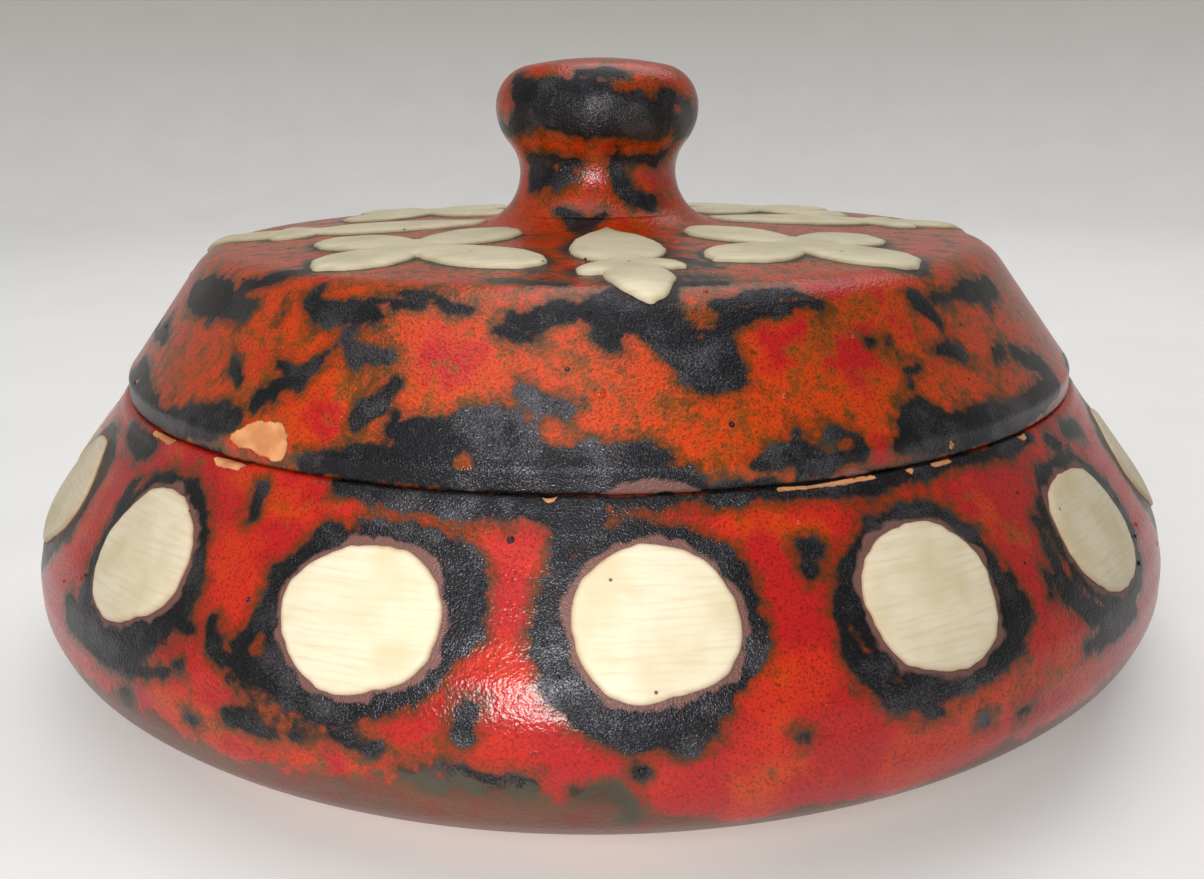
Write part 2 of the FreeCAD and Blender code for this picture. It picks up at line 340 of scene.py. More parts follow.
# %% [markdown]
# ## The potter's wheel
# A Spin in Blender could turn an outline, but a Geometry Nodes tree keeps the rule in view: a grid
# has one row for each point of the outline and one column for each step round the wheel, and every
# grid point is moved to its place. Doubles are merged, which closes the seam and both poles.

# %% Build the wheel as a Geometry Nodes tree
def build_wheel():
    tree = bpy.data.node_groups.new("potters_wheel", "GeometryNodeTree")
    for name, kind in (("Outline", "Geometry"), ("Steps round", "Int"), ("Clay", "Material")):
        tree.interface.new_socket(name, in_out="INPUT", socket_type="NodeSocket" + kind)
    tree.interface.new_socket("Ware", in_out="OUTPUT", socket_type="NodeSocketGeometry")
    given = add(tree, "NodeGroupInput").outputs
    rows = add(tree, "GeometryNodeAttributeDomainSize", {0: given["Outline"]}).outputs["Point Count"]
    columns = add(tree, "ShaderNodeMath", {0: given["Steps round"], 1: 1.0}, operation="ADD").outputs[0]
    grid = add(tree, "GeometryNodeMeshGrid", {"Vertices X": rows, "Vertices Y": columns})
    index = add(tree, "GeometryNodeInputIndex").outputs[0]
    share = add(tree, "ShaderNodeMath", {0: index, 1: columns}, operation="DIVIDE").outputs[0]
    row = add(tree, "ShaderNodeMath", {0: share}, operation="FLOOR").outputs[0]
    column = add(tree, "ShaderNodeMath", {0: index, 1: columns}, operation="MODULO").outputs[0]
    steps = given["Steps round"]
    turn = add(tree, "ShaderNodeMath", {0: column, 1: steps}, operation="DIVIDE").outputs[0]
    angle = add(tree, "ShaderNodeMath", {0: turn, 1: math.tau}, operation="MULTIPLY").outputs[0]
    place = add(tree, "GeometryNodeInputPosition").outputs[0]
    drawn = add(
        tree, "GeometryNodeSampleIndex", {"Geometry": given["Outline"], "Value": place, "Index": row},
        data_type="FLOAT_VECTOR", domain="POINT",
    ).outputs[0]
    spun = add(
        tree, "ShaderNodeVectorRotate", {"Vector": drawn, "Axis": (0, 0, 1), "Angle": angle},
        rotation_type="AXIS_ANGLE",
    ).outputs[0]
    move = {"Geometry": grid.outputs[0], "Position": spun}
    moved = add(tree, "GeometryNodeSetPosition", move).outputs[0]
    merge = {"Geometry": moved, "Distance": 0.002 * MM}
    closed = add(tree, "GeometryNodeMergeByDistance", merge).outputs[0]
    smooth = add(tree, "GeometryNodeSetShadeSmooth", {"Geometry": closed}).outputs[0]
    real = add(tree, "GeometryNodeRealizeInstances", {"Geometry": smooth}).outputs[0]
    dressing = {"Geometry": real, "Material": given["Clay"]}
    dressed = add(tree, "GeometryNodeSetMaterial", dressing).outputs[0]
    add(tree, "NodeGroupOutput", {"Ware": dressed})
    return tree


wheel = build_wheel()
print("the wheel has", len(wheel.nodes), "nodes")

# %% Turn an outline on the wheel
SHARP_FROM = 40


def set_inputs(modifier, values):
    """Set a tree's named inputs on its modifier, by the sockets' identifiers."""
    for item in modifier.node_group.interface.items_tree:
        if item.in_out == "INPUT" and item.name in values:
            modifier[item.identifier] = values[item.name]


def point_outwards(mesh):
    work = bmesh.new()
    work.from_mesh(mesh)
    bmesh.ops.recalc_face_normals(work, faces=work.faces)
    work.to_mesh(mesh)
    work.free()


def turn_on_wheel(name, outline, steps, clay):
    mesh = bpy.data.meshes.new(name + "_outline")
    points = [(x * MM, 0, y * MM) for x, y in outline]
    mesh.from_pydata(points, [(i, i + 1) for i in range(len(points) - 1)], [])
    obj = new_object(name, mesh)
    modifier = obj.modifiers.new("wheel", "NODES")
    modifier.node_group = wheel
    set_inputs(modifier, {"Steps round": steps, "Clay": clay})
    obj.data = plain_mesh(obj, name)
    point_outwards(obj.data)
    obj.data.set_sharp_from_angle(angle=math.radians(SHARP_FROM))
    return obj


print("edges over", SHARP_FROM, "degrees stay sharp")

# %% [markdown]
# ## Brush strokes
# The glaze isn't a random noise: black was brushed round the spots, along the rim and over the
# lid's corner, and it ran. Texture Paint could put it on by hand, but strokes that are written down
# can be read and moved. Each one is a short list of places: an azimuth in degrees from the front, a
# run along the outline and a half width in millimetres. Every point of a skin then learns how deep
# it lies inside the nearest stroke, and the material makes that edge ragged.

# %% Measure how deep each point lies inside the brush strokes
FAR = 20.0


def turn_from(azimuth, start):
    """Degrees from one azimuth to another, the short way round."""
    return (azimuth - start + 180) % 360 - 180


class Skin:
    """A turned piece's points in a painter's terms: azimuth, run along the outline and radius."""

    def __init__(self, obj, outline, run):
        self.mesh = obj.data
        self.paint = {}
        count = len(self.mesh.vertices)
        flat = np.zeros(count * 3)
        self.mesh.vertices.foreach_get("co", flat)
        self.points = flat.reshape(-1, 3) / MM
        x, y, height = self.points.T
        self.radius = np.hypot(x, y)
        self.azimuth = np.degrees(np.arctan2(x, -y))
        gaps = (self.radius[:, None] - outline[:, 0]) ** 2 + (height[:, None] - outline[:, 1]) ** 2
        self.run = run[gaps.argmin(1)]

    def inside(self, strokes, start=0.0):
        """Depth in mm inside the nearest stroke, negative outside it. Runs are counted from a start."""
        depth = np.full(len(self.run), -FAR)
        for stroke in strokes:
            stops = np.array(stroke if len(stroke) > 1 else stroke * 2, float)
            for (azimuth, run, half), (next_azimuth, next_run, next_half) in zip(stops[:-1], stops[1:]):
                aside = np.radians(turn_from(self.azimuth, azimuth)) * self.radius
                along = self.run - start - run
                leg_aside = math.radians(next_azimuth - azimuth) * self.radius
                leg_along = next_run - run
                length = np.maximum(leg_aside ** 2 + leg_along ** 2, 1e-9)
                share = np.clip((aside * leg_aside + along * leg_along) / length, 0, 1)
                gap = np.hypot(aside - share * leg_aside, along - share * leg_along)
                depth = np.maximum(depth, half + share * (next_half - half) - gap)
        return depth

    def keep(self, **levels):
        """Store painted levels under their names, one number for each point."""
        for name, values in levels.items():
            self.paint[name] = values
            keep_on_points(self.mesh, name, values)

    def away(self):
        """The way out of the clay at each point."""
        ways = np.zeros(self.points.size)
        self.mesh.vertex_normals.foreach_get("vector", ways)
        return ways.reshape(-1, 3)

    def press(self, depth):
        """Push the skin in by a depth in mm at each point."""
        self.points -= self.away() * depth[:, None]
        self.mesh.vertices.foreach_set("co", (self.points * MM).ravel())
        self.mesh.update()


# %% Let a value drift round the pot
def wander(azimuth, waves, seed):
    """A smooth value between about -1 and 1 that drifts round the pot and closes on itself."""
    draw = random.Random(seed)
    total = np.zeros_like(azimuth)
    for wave in waves:
        total += np.sin(np.radians(azimuth) * wave + draw.uniform(0, math.tau)) / len(waves)
    return total


print("a drift of three waves reaches", round(wander(np.arange(360.0), (3, 5, 8), 7).max(), 2))

# %% [markdown]
# ## Finishes
# Colours are written as sRGB hex and turned to linear light by one function. Patterns take their
# scale from a size in millimetres on the real pot.

# %% Colours and new materials
def linear(hex_colour):
    values = [int(hex_colour[i:i + 2], 16) / 255 for i in (1, 3, 5)]
    return [v / 12.92 if v <= 0.04045 else ((v + 0.055) / 1.055) ** 2.4 for v in values] + [1.0]


def per_mm(size):
    """Texture scale that gives features of this size in mm."""
    return 1 / (size * MM)


def new_finish(name):
    material = bpy.data.materials.new(name)
    material.use_nodes = True
    tree = material.node_tree
    return material, tree, tree.nodes["Principled BSDF"]


print("half of full sRGB is", round(linear("#808080")[0], 3), "in linear light")

# %% [markdown]
# ### Mottled glaze
# Satin earthenware glaze, brushed on in red and black and run in the kiln. The eye sees crimson in
# the middle of a red field, rust towards its edge, a speckled olive shore, and charcoal with a grey
# sheen. The skin is pebbled, so highlights break up into sparkle. Where it is chipped, or was left
# bare, pale terracotta shows. A picture would blur from close by, so noises of several sizes fray
# the strokes' edges, and each colour is a layer with its own cover, laid from the ground up.

# %% Make the glaze's levels ragged
CRIMSON, SCARLET, RUST, OCHRE = "#ba1c19", "#cc2d15", "#cc4007", "#9a4e0c"
OLIVE, PORE, BLACK, ASH = "#4a310e", "#4a120a", "#2a292c", "#58565a"
UMBER, MOSS, MAUVE = "#583a28", "#4d4934", "#7f564d"
CLAY, CLAY_DARK = "#eda670", "#d58c58"


def glaze_levels(tree):
    """Noises, and levels in mm that they make ragged."""
    place = add(tree, "ShaderNodeTexCoord").outputs["Object"]
    painted = {
        key: add(tree, "ShaderNodeAttribute", attribute_name=key).outputs["Fac"]
        for key in ("black", "warm", "ring", "clay", "thin")
    }
    # signed noises, each with the size of its features in mm and its detail
    value = {
        key: add(
            tree, "ShaderNodeTexNoise",
            {"Vector": place, "Scale": per_mm(size), "Detail": detail, "Roughness": 0.6}, normalize=False,
        ).outputs["Fac"]
        for key, size, detail in (
            ("drift", 15.0, 2.0), ("blot", 5.0, 2.0), ("fray", 1.6, 2.0),
            ("grit", 0.45, 1.0), ("grain", 0.3, 1.0), ("pebble", 0.75, 1.0),
        )
    }
    # each level starts from a painted one, or from nothing, and takes its share of some noises
    for key, start, shares in (
        ("edge", painted["black"], (("blot", 1.25), ("fray", 0.35), ("grain", 0.25))),
        ("shore", painted["black"], (("blot", 1.6), ("fray", 0.6), ("grain", 0.8))),
        ("warmth", painted["warm"], (("drift", 0.8), ("blot", 0.45))),
        ("ochre", painted["warm"], (("drift", -0.4), ("blot", 0.8), ("fray", 0.7), ("grain", 0.4))),
        ("ring", painted["ring"], (("blot", 1.2), ("fray", 0.1))),
        ("chip", painted["clay"], (("fray", 0.25),)),
        ("thin", painted["thin"], (("blot", 2.4), ("fray", 1.2), ("grain", 0.8))),
        ("fleck", painted["warm"], (("blot", 0.8), ("fray", 0.7), ("grain", 0.6))),
        ("lustre", 0.0, (("drift", 1.0), ("blot", 0.7), ("grain", 1.0))),
        ("relief", 0.0, (("pebble", 0.035), ("grit", 0.015), ("grain", 0.006))),
    ):
        for part, amount in shares:
            term = {0: value[part], 1: amount, 2: start}
            start = add(tree, "ShaderNodeMath", term, operation="MULTIPLY_ADD").outputs[0]
        value[key] = start
    return value


# %% Make the mottled glaze
GLAZE_IOR = 1.46
RED_ROUGHNESS = 0.24
BLACK_ROUGHNESS = 0.31
BLACK_LUSTRE = 0.8
CHIP_STEP = 0.12      # mm that bare clay lies below the glaze
STIPPLE = 0.045       # mm that the black's grain stands up


def mottled_glaze(name):
    material, tree, surface = new_finish(name)
    value = glaze_levels(tree)
    # each layer's cover goes from none at one level to its most at another
    cover = {
        key: add(
            tree, "ShaderNodeMapRange",
            {"Value": value[source], "From Min": low, "From Max": high, "To Max": most},
        ).outputs[0]
        for key, source, low, high, most in (
            ("scarlet", "drift", -0.2, 0.3, 1.0), ("rust", "warmth", 0.1, 0.7, 1.0),
            ("ochre", "ochre", 0.65, 1.35, 0.8), ("pore", "grit", 0.0, 0.6, 0.55),
            ("fleck", "fleck", 0.8, 1.8, 0.5), ("olive", "shore", -2.6, -0.1, 0.88),
            ("black", "edge", -0.4, 0.35, 1.0), ("ash", "lustre", 0.0, 1.1, 1.0),
            ("umber", "thin", -0.8, 1.2, 0.8), ("moss", "blot", -0.4, 0.3, 0.9),
            ("mauve", "ring", 1.3, 0.7, 0.9), ("clay", "chip", -0.1, 0.1, 1.0),
            ("dust", "blot", -0.4, 0.4, 1.0),
        )
    }
    ground = {
        key: add(
            tree, "ShaderNodeMix", {0: cover[key], 6: linear(under), 7: linear(over)}, data_type="RGBA",
        ).outputs[2]
        for key, under, over in (
            ("scarlet", CRIMSON, SCARLET), ("ash", BLACK, ASH),
            ("moss", UMBER, MOSS), ("dust", CLAY_DARK, CLAY),
        )
    }
    skin = ground["scarlet"]
    for key, colour in (
        ("rust", linear(RUST)), ("ochre", linear(OCHRE)), ("pore", linear(PORE)), ("fleck", linear(OLIVE)),
        ("olive", linear(OLIVE)), ("black", ground["ash"]), ("umber", ground["moss"]),
        ("mauve", linear(MAUVE)), ("clay", ground["dust"]),
    ):
        skin = add(tree, "ShaderNodeMix", {0: cover[key], 6: skin, 7: colour}, data_type="RGBA").outputs[2]
    # red is wetter than black, which has a metallic lustre, and what lies on top of it is drier
    wet = {"Value": cover["black"], "To Min": RED_ROUGHNESS, "To Max": BLACK_ROUGHNESS}
    gloss = add(tree, "ShaderNodeMapRange", wet).outputs[0]
    lustre = add(tree, "ShaderNodeMapRange", {"Value": cover["black"], "To Max": BLACK_LUSTRE}).outputs[0]
    for key, dry in (("umber", 0.35), ("mauve", 0.45), ("clay", 0.9)):
        drier = {0: cover[key], 2: gloss, 3: dry}
        gloss = add(tree, "ShaderNodeMix", drier, data_type="FLOAT").outputs[0]
        duller = {0: cover[key], 2: lustre, 3: 0.0}
        lustre = add(tree, "ShaderNodeMix", duller, data_type="FLOAT").outputs[0]
    stipple = {0: value["grain"], 1: cover["black"]}
    rough = add(tree, "ShaderNodeMath", stipple, operation="MULTIPLY").outputs[0]
    height = value["relief"]
    for part, amount in ((cover["clay"], -CHIP_STEP), (rough, STIPPLE)):
        term = {0: part, 1: amount, 2: height}
        height = add(tree, "ShaderNodeMath", term, operation="MULTIPLY_ADD").outputs[0]
    relief = add(tree, "ShaderNodeBump", {"Height": height, "Distance": MM, "Strength": 1.0}).outputs[0]
    finish = {"Base Color": skin, "Roughness": gloss, "Metallic": lustre, "Normal": relief}
    for socket, made in finish.items():
        tree.links.new(made, surface.inputs[socket])
    surface.inputs["IOR"].default_value = GLAZE_IOR
    return material


glaze = mottled_glaze("satin_mottled_glaze")
print(glaze.name, "has", len(glaze.node_tree.nodes), "nodes")

# %% [markdown]
# ### Cream slip
# White-firing clay thinned with water and laid on thickly, under a clear satin glaze. It shows faint
# brush lines along its local x, a warmer rim where it thins, grey pooling and a few iron specks.
# The pattern follows each pad, so it reads the pad's own coordinates, kept as an attribute in mm.

# %% Make the cream slip
SLIP_IOR = 1.5
SLIP_ROUGHNESS = 0.5
BRUSH_LINES = (0.10, 1.3, 1.0)      # to the mm: lines about 10 mm long, some 0.8 mm apart


def cream_slip(name, cream, pool, worn):
    material, tree, surface = new_finish(name)
    place = add(tree, "ShaderNodeTexCoord").outputs["Object"]
    pad = add(tree, "ShaderNodeAttribute", attribute_name="pad").outputs["Vector"]
    rim = add(tree, "ShaderNodeAttribute", attribute_name="rim").outputs["Fac"]
    wear = add(tree, "ShaderNodeAttribute", attribute_name="wear").outputs["Fac"]
    strokes = add(tree, "ShaderNodeMapping", {"Vector": pad, "Scale": BRUSH_LINES}).outputs[0]
    brushed, cloud, fine = (
        add(tree, "ShaderNodeTexNoise", {"Vector": vector, "Scale": scale, "Detail": 2.0}).outputs["Fac"]
        for vector, scale in ((strokes, 1.0), (place, per_mm(9.0)), (place, per_mm(0.8)))
    )
    frayed = add(tree, "ShaderNodeMath", {0: fine, 1: 0.8, 2: wear}, operation="MULTIPLY_ADD").outputs[0]
    cells = add(tree, "ShaderNodeTexVoronoi", {"Vector": place, "Scale": per_mm(4.5)}).outputs
    cover = {
        key: add(
            tree, "ShaderNodeMapRange", {"Value": value, "From Min": low, "From Max": high, "To Max": most},
        ).outputs[0]
        for key, value, low, high, most in (
            ("pooled", cloud, 0.42, 0.7, 0.8), ("lines", brushed, 0.45, 0.7, 0.6),
            ("thin", rim, 0.9, 0.0, 0.45), ("rubbed", frayed, 0.9, 1.3, 1.0),
            ("speck", cells["Distance"], 0.09, 0.05, 1.0), ("chosen", cells["Color"], 0.62, 0.64, 1.0),
        )
    }
    specks = {0: cover["speck"], 1: cover["chosen"]}
    cover["iron"] = add(tree, "ShaderNodeMath", specks, operation="MULTIPLY").outputs[0]
    skin = linear(cream)
    colours = {"pooled": pool, "lines": pool, "thin": worn, "rubbed": CLAY, "iron": OLIVE}
    for key, colour in colours.items():
        layer = {0: cover[key], 6: skin, 7: linear(colour)}
        skin = add(tree, "ShaderNodeMix", layer, data_type="RGBA").outputs[2]
    lines = {0: brushed, 1: 0.05, 2: fine}
    ripple = add(tree, "ShaderNodeMath", lines, operation="MULTIPLY_ADD").outputs[0]
    bump = {"Height": ripple, "Distance": 0.05 * MM, "Strength": 1.0}
    relief = add(tree, "ShaderNodeBump", bump).outputs[0]
    tree.links.new(skin, surface.inputs["Base Color"])
    tree.links.new(relief, surface.inputs["Normal"])
    surface.inputs["Roughness"].default_value = SLIP_ROUGHNESS
    surface.inputs["IOR"].default_value = SLIP_IOR
    return material


spot_slip = cream_slip("ivory_spot_slip", "#efe2c6", "#dccaa2", "#b98f6c")
petal_slip = cream_slip("cream_petal_slip", "#e6dcbc", "#cec39f", "#a98a66")
print(spot_slip.name, "and", petal_slip.name, "have", len(spot_slip.node_tree.nodes), "nodes each")

# %% [markdown]
# ### Bare terracotta
# The flange was wiped clean before firing, so that it doesn't stick: pink-orange clay, dry to the
# eye, with fine grog and faint turning lines. The lines could come from a UV map, but noise that is
# squeezed along the axis lies round it by itself.

# %% Make the bare terracotta
TURNING_LINES = (1.0, 1.0, 40.0)
CLAY_ROUGHNESS = 0.9


def bare_terracotta(name):
    material, tree, surface = new_finish(name)
    place = add(tree, "ShaderNodeTexCoord").outputs["Object"]
    lathe = add(tree, "ShaderNodeMapping", {"Vector": place, "Scale": TURNING_LINES}).outputs[0]
    turning, grog = (
        add(
            tree, "ShaderNodeTexNoise", {"Vector": vector, "Scale": per_mm(size), "Detail": detail},
        ).outputs["Fac"]
        for vector, size, detail in ((lathe, 25.0, 2.0), (place, 0.9, 3.0))
    )
    mixed = add(tree, "ShaderNodeMath", {0: turning, 1: grog}, operation="MULTIPLY").outputs[0]
    tone = add(tree, "ShaderNodeMapRange", {"Value": mixed, "From Min": 0.12, "From Max": 0.38}).outputs[0]
    tones = {0: tone, 6: linear(CLAY_DARK), 7: linear(CLAY)}
    skin = add(tree, "ShaderNodeMix", tones, data_type="RGBA").outputs[2]
    bump = {"Height": mixed, "Distance": 0.15 * MM, "Strength": 1.0}
    relief = add(tree, "ShaderNodeBump", bump).outputs[0]
    tree.links.new(skin, surface.inputs["Base Color"])
    tree.links.new(relief, surface.inputs["Normal"])
    surface.inputs["Roughness"].default_value = CLAY_ROUGHNESS
    return material


terracotta = bare_terracotta("bare_terracotta")
print(terracotta.name, "has", len(terracotta.node_tree.nodes), "nodes")

# %% [markdown]
# ## Slip pads
# A spot, a flower or a bud is a pad of slip: an outline drawn flat, a middle to which every part of
# that outline can be seen, and a height that rises from the edge. A Shrinkwrap modifier could drape
# a flat mesh on the wall. Here a function says where each flat point comes to lie and which way is
# up, so that its height above the wall is exact.

# %% Where a flat drawing comes to lie on the bowl and on the lid
def surface_at(outline, run_at, run):
    """Radius, height and left-hand way of an outline at each run: out of the bowl, into the lid."""
    radius = np.interp(run, run_at, outline[:, 0])
    height = np.interp(run, run_at, outline[:, 1])
    ahead = np.gradient(outline, axis=0)
    ahead /= np.maximum(np.hypot(*ahead.T), 1e-9)[:, None]
    aside = np.interp(run, run_at, -ahead[:, 1])
    up = np.interp(run, run_at, ahead[:, 0])
    return radius, height, aside, up


def raised(radius, height, out, up, azimuth, lift):
    """Points lifted off a turned wall, in mm."""
    away = radius + out * lift
    angle = np.radians(azimuth)
    return np.stack([away * np.sin(angle), -away * np.cos(angle), height + up * lift], 1)


HAIR = 0.05
wall_line = bowl_wall(HAIR)
wall_run = travel(wall_line) + rim_touch
cover_line = lid_cover(HAIR)
cover_run = travel(cover_line)


def lay_on_bowl(azimuth, run):
    """Flat x goes round the bowl, and flat y down its wall."""
    def lay(flat, lift):
        radius, height, out, up = surface_at(wall_line, wall_run, run + flat[:, 1])
        middle = np.interp(run, wall_run, wall_line[:, 0])
        return raised(radius, height, out, up, azimuth + np.degrees(flat[:, 0] / middle), lift)
    return lay


def lay_on_lid(flat, lift):
    """Flat x and y are the plan's own, so the drawing is dropped straight down on the lid."""
    distance = np.hypot(flat[:, 0], flat[:, 1])
    run = np.interp(-distance, -cover_line[:, 0], cover_run)
    _, height, inward, down = surface_at(cover_line, cover_run, run)
    azimuth = np.degrees(np.arctan2(flat[:, 0], -flat[:, 1]))
    return raised(distance, height, -inward, -down, azimuth, lift)


print("to paint:", round(wall_run[-1]), "mm down the bowl and", round(cover_run[-1]), "mm over the lid")

# %% Measure from flat points to an outline
def gap_to(points, loop):
    """Shortest distance from each flat point to a closed outline."""
    best = np.full(len(points), FAR)
    for start, end in zip(loop, np.roll(loop, -1, 0)):
        leg = end - start
        share = np.clip(((points - start) @ leg) / max(leg @ leg, 1e-12), 0, 1)
        best = np.minimum(best, np.hypot(*(points - start - share[:, None] * leg).T))
    return best


def within(points, loop):
    """True where a flat point is inside a closed outline."""
    crossings = np.zeros(len(points), int)
    for start, end in zip(loop, np.roll(loop, -1, 0)):
        rises = (start[1] > points[:, 1]) != (end[1] > points[:, 1])
        slope = (end[0] - start[0]) / (end[1] - start[1] + 1e-15)
        crossings += rises & (points[:, 0] < start[0] + (points[:, 1] - start[1]) * slope)
    return crossings % 2 == 1


square = np.array([(0.0, 0.0), (4.0, 0.0), (4.0, 4.0), (0.0, 4.0)])
print("from the middle of a 4 mm square to its edge:", gap_to(square.mean(0)[None], square)[0], "mm")

# %% Build one pad
RINGS = 16
CROWDED = 1.6         # rings crowd towards the edge by this power
SUNK = 0.35           # mm that the pad's floor lies in the wall


def slip_pad(name, loop, core, middle, lay, rise, wear, finish):
    """Closed pad: rings that grow from a smooth core into the outline, and a floor under them."""
    shares = 1 - (1 - np.linspace(0, 1, RINGS + 1)[1:]) ** CROWDED
    steps = len(loop)
    rings = [middle + share * (core + share ** 3 * (loop - core) - middle) for share in shares]
    flat = np.concatenate([middle[None]] + rings)
    rim = gap_to(flat, loop)
    rim[-steps:] = 0
    top = lay(flat, rise(rim))
    under = lay(loop, np.full(steps, -SUNK))
    below = lay(middle[None], np.array([-SUNK]))
    points = np.concatenate([top, under, below]) * MM
    faces = []
    for i in range(steps):
        j = (i + 1) % steps
        faces.append((0, 1 + i, 1 + j))
        for ring in range(RINGS):
            a = 1 + ring * steps
            faces.append((a + i, a + steps + i, a + steps + j, a + j))
        last = 1 + RINGS * steps
        faces.append((last + i, len(points) - 1, last + j))
    # round the first ring one way or the other, whichever winds the faces outwards
    outward = lay(middle[None], np.ones(1))[0] - lay(middle[None], np.zeros(1))[0]
    if np.cross(points[1] - points[0], points[2] - points[0]) @ outward < 0:
        faces = [face[::-1] for face in faces]
    mesh = bpy.data.meshes.new(name)
    mesh.from_pydata(points.tolist(), [], faces)
    mesh.polygons.foreach_set("use_smooth", [True] * len(faces))
    local = np.concatenate([flat, loop, middle[None]])
    spread = np.zeros((len(points), 3), np.float32)
    spread[:, :2] = local - middle
    keep_on_points(mesh, "pad", spread)
    keep_on_points(mesh, "rim", np.concatenate([rim, np.zeros(steps + 1)]))
    keep_on_points(mesh, "wear", wear(local))
    mesh.materials.append(finish)
    return new_object(name, mesh)


# %% [markdown]
# ## Spots
# Sixteen spots were dabbed round the shoulder by hand, so each outline differs: a slow wobble from
# the brush and a finer one where the slip dried. One stamped shape would look printed, so each edge
# is moved by a few waves with a seed of its own. The spots are flat, with a small round edge.

# %% Draw the spots' outlines
SPOT_STEPS = 120
spot_count = 16
spot_drop = 19.8
spot_first = 3.8
spot_drift = {2: -0.8, 3: -0.7, 16: 1.0}
spot_width = 25.2
spot_height = 22.9
# width, height and how much lower, where a spot differs from the others
spot_fit = {16: (26.2, 22.2, 0.0), 1: (24.6, 22.8, -1.2), 2: (24.0, 23.4, 0.0), 15: (25.0, 23.4, -0.5)}
spot_wobble = ((3, 0.30), (4, 0.28), (5, 0.20), (7, 0.14), (13, 0.09), (21, 0.07), (29, 0.05))
spot_lift = 0.55
spot_round = 0.9


def spot_outline(number):
    """Closed outline of one spot round its own middle, in mm, and the ellipse that it strays from."""
    draw = random.Random(100 + number)
    width, height, _ = spot_fit.get(number, (spot_width, spot_height, 0.0))
    angle = np.linspace(0, math.tau, SPOT_STEPS, endpoint=False)
    reach = 1 / np.hypot(np.cos(angle) / (width / 2), np.sin(angle) / (height / 2))
    ways = np.stack([np.cos(angle), np.sin(angle)], 1)
    core = reach[:, None] * ways
    for wave, size in spot_wobble:
        reach = reach + draw.uniform(0.5, 1.0) * size * np.sin(wave * angle + draw.uniform(0, math.tau))
    return reach[:, None] * ways, core


spots = {}
for number in range(1, spot_count + 1):
    azimuth = spot_first + (number - 1) * 360 / spot_count + spot_drift.get(number, 0)
    lower = spot_fit.get(number, (0, 0, 0.0))[2]
    spots[number] = (turn_from(azimuth, 0), spot_drop + lower, *spot_outline(number))
print("spots:", len(spots), "each", SPOT_STEPS, "points round")

# %% Lay the spots on the shoulder
def spot_rise(rim):
    climb = np.clip(rim / spot_round, 0, 1)
    return spot_lift * np.sqrt(1 - (1 - climb) ** 2)


def no_wear(flat):
    return np.zeros(len(flat))


for number, (azimuth, run, loop, core) in spots.items():
    lay = lay_on_bowl(azimuth, run)
    pad = slip_pad(f"spot_{number:02d}", loop, core, np.zeros(2), lay, spot_rise, no_wear, spot_slip)
    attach(pad, "bowl")
    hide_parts(f"dot_{number:02d}")
print("spot pads:", len(spots), "of", len(pad.data.polygons), "faces each")

# %% [markdown]
# ## Flowers and buds
# A petal is a pointed leaf, two arcs a side. Four of them meet at a heart, and a bud has a hood, two
# side leaves and a long leaf that runs over the lid's corner. The outline of a whole motif is found
# by looking out from its middle in every direction to the furthest leaf edge. The slip is puffy:
# it rises in a round from its edge.

# %% Draw leaves and whole motifs
MOTIF_STEPS = 260
LEAF_POINTS = 25
motif_waves = (9, 14, 23, 37)


def plan(radius, azimuth):
    angle = math.radians(azimuth)
    return np.array([radius * math.sin(angle), -radius * math.cos(angle)])


def leaf(base, tip, width, fullest, blunt=0.75):
    """Closed outline of a pointed leaf, widest at a share of its length from the base."""
    ahead = (tip - base) / np.hypot(*(tip - base))
    aside = np.array([-ahead[1], ahead[0]])
    length = np.hypot(*(tip - base))
    share = np.linspace(0, 1, LEAF_POINTS)
    swell = np.where(share < fullest, (fullest - share) / fullest, (share - fullest) / (1 - fullest))
    half = width / 2 * (1 - swell ** 2) ** blunt
    up = base + np.outer(share * length, ahead)
    return np.concatenate([up + half[:, None] * aside, (up - half[:, None] * aside)[::-1]])


def furthest(middle, loop, ways):
    """How far each way from the middle the furthest edge of an outline lies, 0 where it misses."""
    best = np.zeros(len(ways))
    for start, end in zip(loop, np.roll(loop, -1, 0)):
        leg = end - start
        gap = start - middle
        cross = ways[:, 0] * leg[1] - ways[:, 1] * leg[0]
        cross = np.where(np.abs(cross) < 1e-12, 1e-12, cross)
        reach = (gap[0] * leg[1] - gap[1] * leg[0]) / cross
        share = (gap[0] * ways[:, 1] - gap[1] * ways[:, 0]) / cross
        best = np.maximum(best, np.where((share >= 0) & (share <= 1), reach, 0))
    return best


def motif_outline(middle, leaves, heart, seed):
    angle = np.linspace(0, math.tau, MOTIF_STEPS, endpoint=False)
    ways = np.stack([np.cos(angle), np.sin(angle)], 1)
    reach = np.full(MOTIF_STEPS, heart)
    for loop in leaves:
        reach = np.maximum(reach, furthest(middle, loop, ways))
    draw = random.Random(seed)
    for wave in motif_waves:
        size = draw.uniform(0.004, 0.010)
        reach = reach * (1 + size * np.sin(wave * angle + draw.uniform(0, math.tau)))
    return middle + reach[:, None] * ways


print("a leaf is drawn with", 2 * LEAF_POINTS, "points")

# %% Place the flowers and the buds
# a flower's radius and azimuth on the lid, each petal's way and length, and the petals' width
flowers = {
    "front_left": (56.0, -39.0, ((-35, 25), (48, 34), (146, 30), (232, 27)), 17.5),
    "front_right": (58.0, 42.0, ((42, 27), (130, 23), (218, 31), (-44, 26)), 17.0),
    "back_right": (57.0, 132.0, ((132, 26), (222, 28), (312, 27), (42, 28)), 17.5),
    "back_left": (57.0, -130.0, ((-130, 26), (-40, 28), (50, 27), (140, 28)), 17.5),
}
petal_fullest = 0.6
heart_radius = 5.0
buds = {"front": 4.0, "right": 94.0, "back": 183.0, "left": -82.0}
bud_lean = {"front": 1.5}
